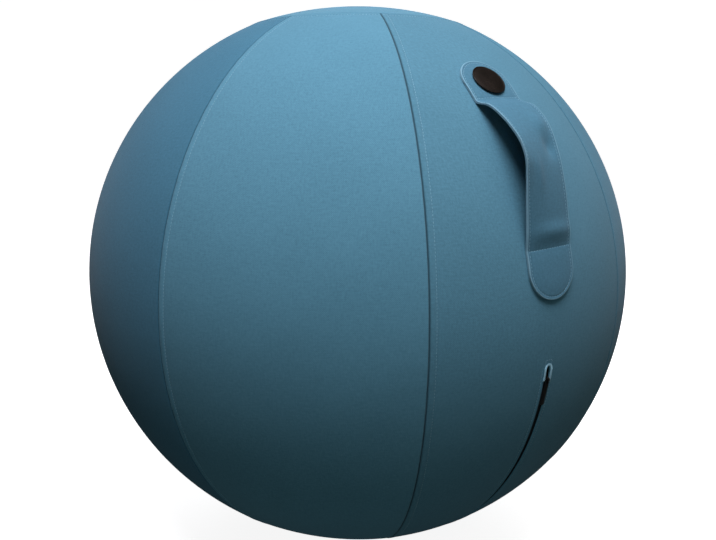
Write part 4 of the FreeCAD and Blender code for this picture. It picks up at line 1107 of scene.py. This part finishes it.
def make_welt():
    """The folded strip of cloth that is sewn round the slit's upper end."""
    legs = np.linspace(-WELT_LEGS, WELT_ARCH[0], WELT_LEG_ROWS + 1)[:-1]
    turn = np.linspace(0, pi, WELT_ARCH_ROWS)
    leg = WELT_HALF + 0 * legs
    across = np.concatenate([leg, WELT_HALF * np.cos(turn), -leg])
    above = np.concatenate([legs, WELT_ARCH[0] + WELT_ARCH[1] * np.sin(turn), legs[::-1]])
    line = np.stack([across, above], -1)
    tangent = unit(np.gradient(line, axis=0))
    normal = np.stack([tangent[:, 1], -tangent[:, 0]], -1)
    angle = np.linspace(0, 2 * pi, WELT_RING, endpoint=False)
    ways = np.cos(angle), np.sin(angle)
    wide, high = (np.sign(way) * np.abs(way) ** WELT_ROUNDING for way in ways)
    wide, high = wide * WELT_WIDTH / 2, (high + 1) * WELT_THICKNESS / 2
    rows = np.arange(len(line))
    over = np.concatenate([0 * legs, np.sin(turn), 0 * legs])
    ends = smooth(np.minimum(rows, rows[::-1]), *WELT_ENDS) * (1 - WELT_SINK * over)
    plan = line[:, None, :] + normal[:, None, :] * wide[None, :, None]
    radius = WELT_LEVEL + high[None, :] * ends[:, None]
    latitude = -SLIT_TOP_DROP + plan[..., 1] / BALL
    points = front(latitude) * np.sqrt(radius**2 - plan[..., 0] ** 2)[..., None]
    points[..., 0] += plan[..., 0]
    ids = np.arange(points.size // 3).reshape(len(line), len(angle))
    faces = tidy_faces(faces_of(ids.T, closed=True)) + [ids[0].tolist(), ids[-1, ::-1].tolist()]
    uv = uv_grid(angle * WELT_WIDTH / 2, lengths_along(line)[:, None])
    piece = new_object("zip_welt", (CENTRE + points).reshape(-1, 3), faces, uv, WELT_CLOTH)
    fit(piece, "cover", "zip_garage")


for make, kind, made in ((make_tape, "tape", "woven"), (make_coil, "coil", "wound")):
    for zip_side, side_name in ((1, "right"), (-1, "left")):
        make(f"zip_{kind}_{made}_{side_name}", zip_side, f"zip_{kind}_{side_name}")
make_welt()


# Edges turned by more than the first angle are rounded, and more than the second stay sharp
ROUNDED_ABOVE = radians(40)
SHARP_ABOVE = radians(60)


def rounded(node_name, name, body, width):
    """A zip part as the CAD has it, with its edges rounded over."""
    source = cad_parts[node_name]
    mesh = source.data.copy()
    mesh.transform(source.matrix_world)
    shape = bmesh.new()
    shape.from_mesh(mesh)
    bmesh.ops.remove_doubles(shape, verts=shape.verts, dist=0.001 * MM)
    shape.to_mesh(mesh)
    shape.free()
    copy = add_object(name, mesh)
    bevel = copy.modifiers.new("rounding", "BEVEL")
    bevel.width = width
    bevel.segments = 3
    bevel.limit_method = "ANGLE"
    bevel.angle_limit = ROUNDED_ABOVE
    piece = apply_modifiers(copy, name, ZIP_BLACK)
    piece.data.shade_smooth()
    piece.data.set_sharp_from_angle(angle=SHARP_ABOVE)
    fit(piece, body, node_name)


rounded("zip_slider", "zip_slider_cast", "slider", 0.25 * MM)
rounded("zip_pull", "zip_puller_cast", "pull", 0.3 * MM)


# CAD pieces that stay, in their real finishes

KEPT = {
    "badge_rivet": RIVET_STEEL,
    "zip_top_stops": ZIP_BLACK,
    "zip_bottom_stop": ZIP_BLACK,
    "bladder": BLADDER_VINYL,
    "valve_seat": BLADDER_VINYL,
    "valve_plug": VALVE_PLASTIC,
}
for kept_name, finish in KEPT.items():
    for finish_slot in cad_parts[kept_name].material_slots:
        finish_slot.material = finish


# Camera, lights and floor

PHOTO_WIDTH = 716
PHOTO_HEIGHT = 540
FOCAL_PIXELS = 704
BALL_PIXEL = (357.7, 271.2)
SENSOR = 36.0
CAMERA_DISTANCE = 0.913
CAMERA_BACK = Vector((-0.5368, -0.8172, 0.2096)).normalized()

# Direction from the ball, watts and colour of each soft box
SOFT_BOXES = {
    "key_box": ((-0.2040, -0.3142, 0.9272), 73, (0.92, 0.93, 1.0)),
    "top_box": ((-0.0190, -0.0293, 0.9994), 7, (1.0, 0.85, 0.82)),
    "right_box": ((0.2418, -0.2418, 0.9397), 8, (1.0, 0.85, 0.80)),
    "front_right_box": ((0.2620, -0.7198, 0.6428), 4.5, (1.0, 0.95, 0.85)),
    "floor_bounce": ((-0.5180, -0.7976, -0.3090), 5, (0.80, 1.0, 0.95)),
    "back_box": ((0.5118, 0.7880, 0.3420), 30, (0.92, 0.93, 1.0)),
}
BOX_DISTANCE = 2.4
BOX_SIZE = 1.4
ROOM_LIGHT = 0.035
FLOOR_RADIUS = 14
SURROUND_RADIUS = 13
# The floor's glow near the ball and away from it, and the distances between which it changes
SHADOW_GLOW = 0.90
FULL_GLOW = 1.0
SHADOW_REACH = (0.5, 1.6)


def make_camera():
    camera = add_object("camera", bpy.data.cameras.new("camera"))
    camera.location = Vector(CENTRE) + CAMERA_BACK * CAMERA_DISTANCE
    camera.rotation_euler = CAMERA_BACK.to_track_quat("Z", "Y").to_euler()
    camera.data.sensor_width = SENSOR
    camera.data.lens = FOCAL_PIXELS / PHOTO_WIDTH * SENSOR
    camera.data.shift_x = (PHOTO_WIDTH / 2 - BALL_PIXEL[0]) / PHOTO_WIDTH
    camera.data.shift_y = (BALL_PIXEL[1] - PHOTO_HEIGHT / 2) / PHOTO_WIDTH
    camera.data.clip_start = 0.01
    camera.data.clip_end = 100
    bpy.context.scene.camera = camera


def soft_box(name, direction, watts, colour):
    """A round soft box that faces the ball."""
    lamp = bpy.data.lights.new(name, "AREA")
    lamp.shape = "DISK"
    lamp.size = BOX_SIZE
    lamp.energy = watts
    lamp.color = colour
    holder = add_object(name, lamp)
    away = Vector(direction).normalized()
    holder.location = Vector(CENTRE) + away * BOX_DISTANCE
    holder.rotation_euler = away.to_track_quat("Z", "Y").to_euler()
    holder.visible_camera = False


def studio_white(name, near):
    """A white studio surface that glows: a little less near the ball, where its shadow falls."""
    material, tree, shader = new_material(name, Roughness=0.9, Base_Color=(0.5, 0.5, 0.5, 1))
    place = node(tree, "ShaderNodeTexCoord").outputs["Object"]
    distance = node(tree, "ShaderNodeVectorMath", {0: place}, operation="LENGTH").outputs["Value"]
    low, high = SHADOW_REACH
    limits = {"Value": distance, "From Min": low, "From Max": high}
    limits |= {"To Min": near, "To Max": FULL_GLOW}
    glow = node(tree, "ShaderNodeMapRange", limits).outputs["Result"]
    shader.inputs["Emission Color"].default_value = (1, 1, 1, 1)
    tree.links.new(glow, shader.inputs["Emission Strength"])
    return material


def backdrop(name, glow):
    """The surface made last, as a studio piece that casts neither light nor shadow on the ball."""
    thing = bpy.context.object
    thing.name = name
    thing.data.materials.append(studio_white(name + "_paint", glow))
    thing.visible_diffuse = thing.visible_glossy = thing.visible_shadow = False
    return thing


def make_studio():
    """Pale floor, white surround and soft lights."""
    bpy.ops.mesh.primitive_circle_add(vertices=128, radius=FLOOR_RADIUS, fill_type="NGON")
    floor = backdrop("studio_floor", SHADOW_GLOW)
    bpy.ops.mesh.primitive_uv_sphere_add(segments=96, ring_count=48, radius=SURROUND_RADIUS)
    surround = backdrop("studio_surround", FULL_GLOW)
    world = bpy.data.worlds.new("studio_world")
    bpy.context.scene.world = world
    world.use_nodes = True
    background = world.node_tree.nodes["Background"].inputs
    background["Strength"].default_value = ROOM_LIGHT
    background["Color"].default_value = (1, 1, 1, 1)
    for name, (direction, watts, colour) in SOFT_BOXES.items():
        soft_box(name, direction, watts, colour)


make_camera()
make_studio()
bpy.context.scene.view_settings.view_transform = "Standard"
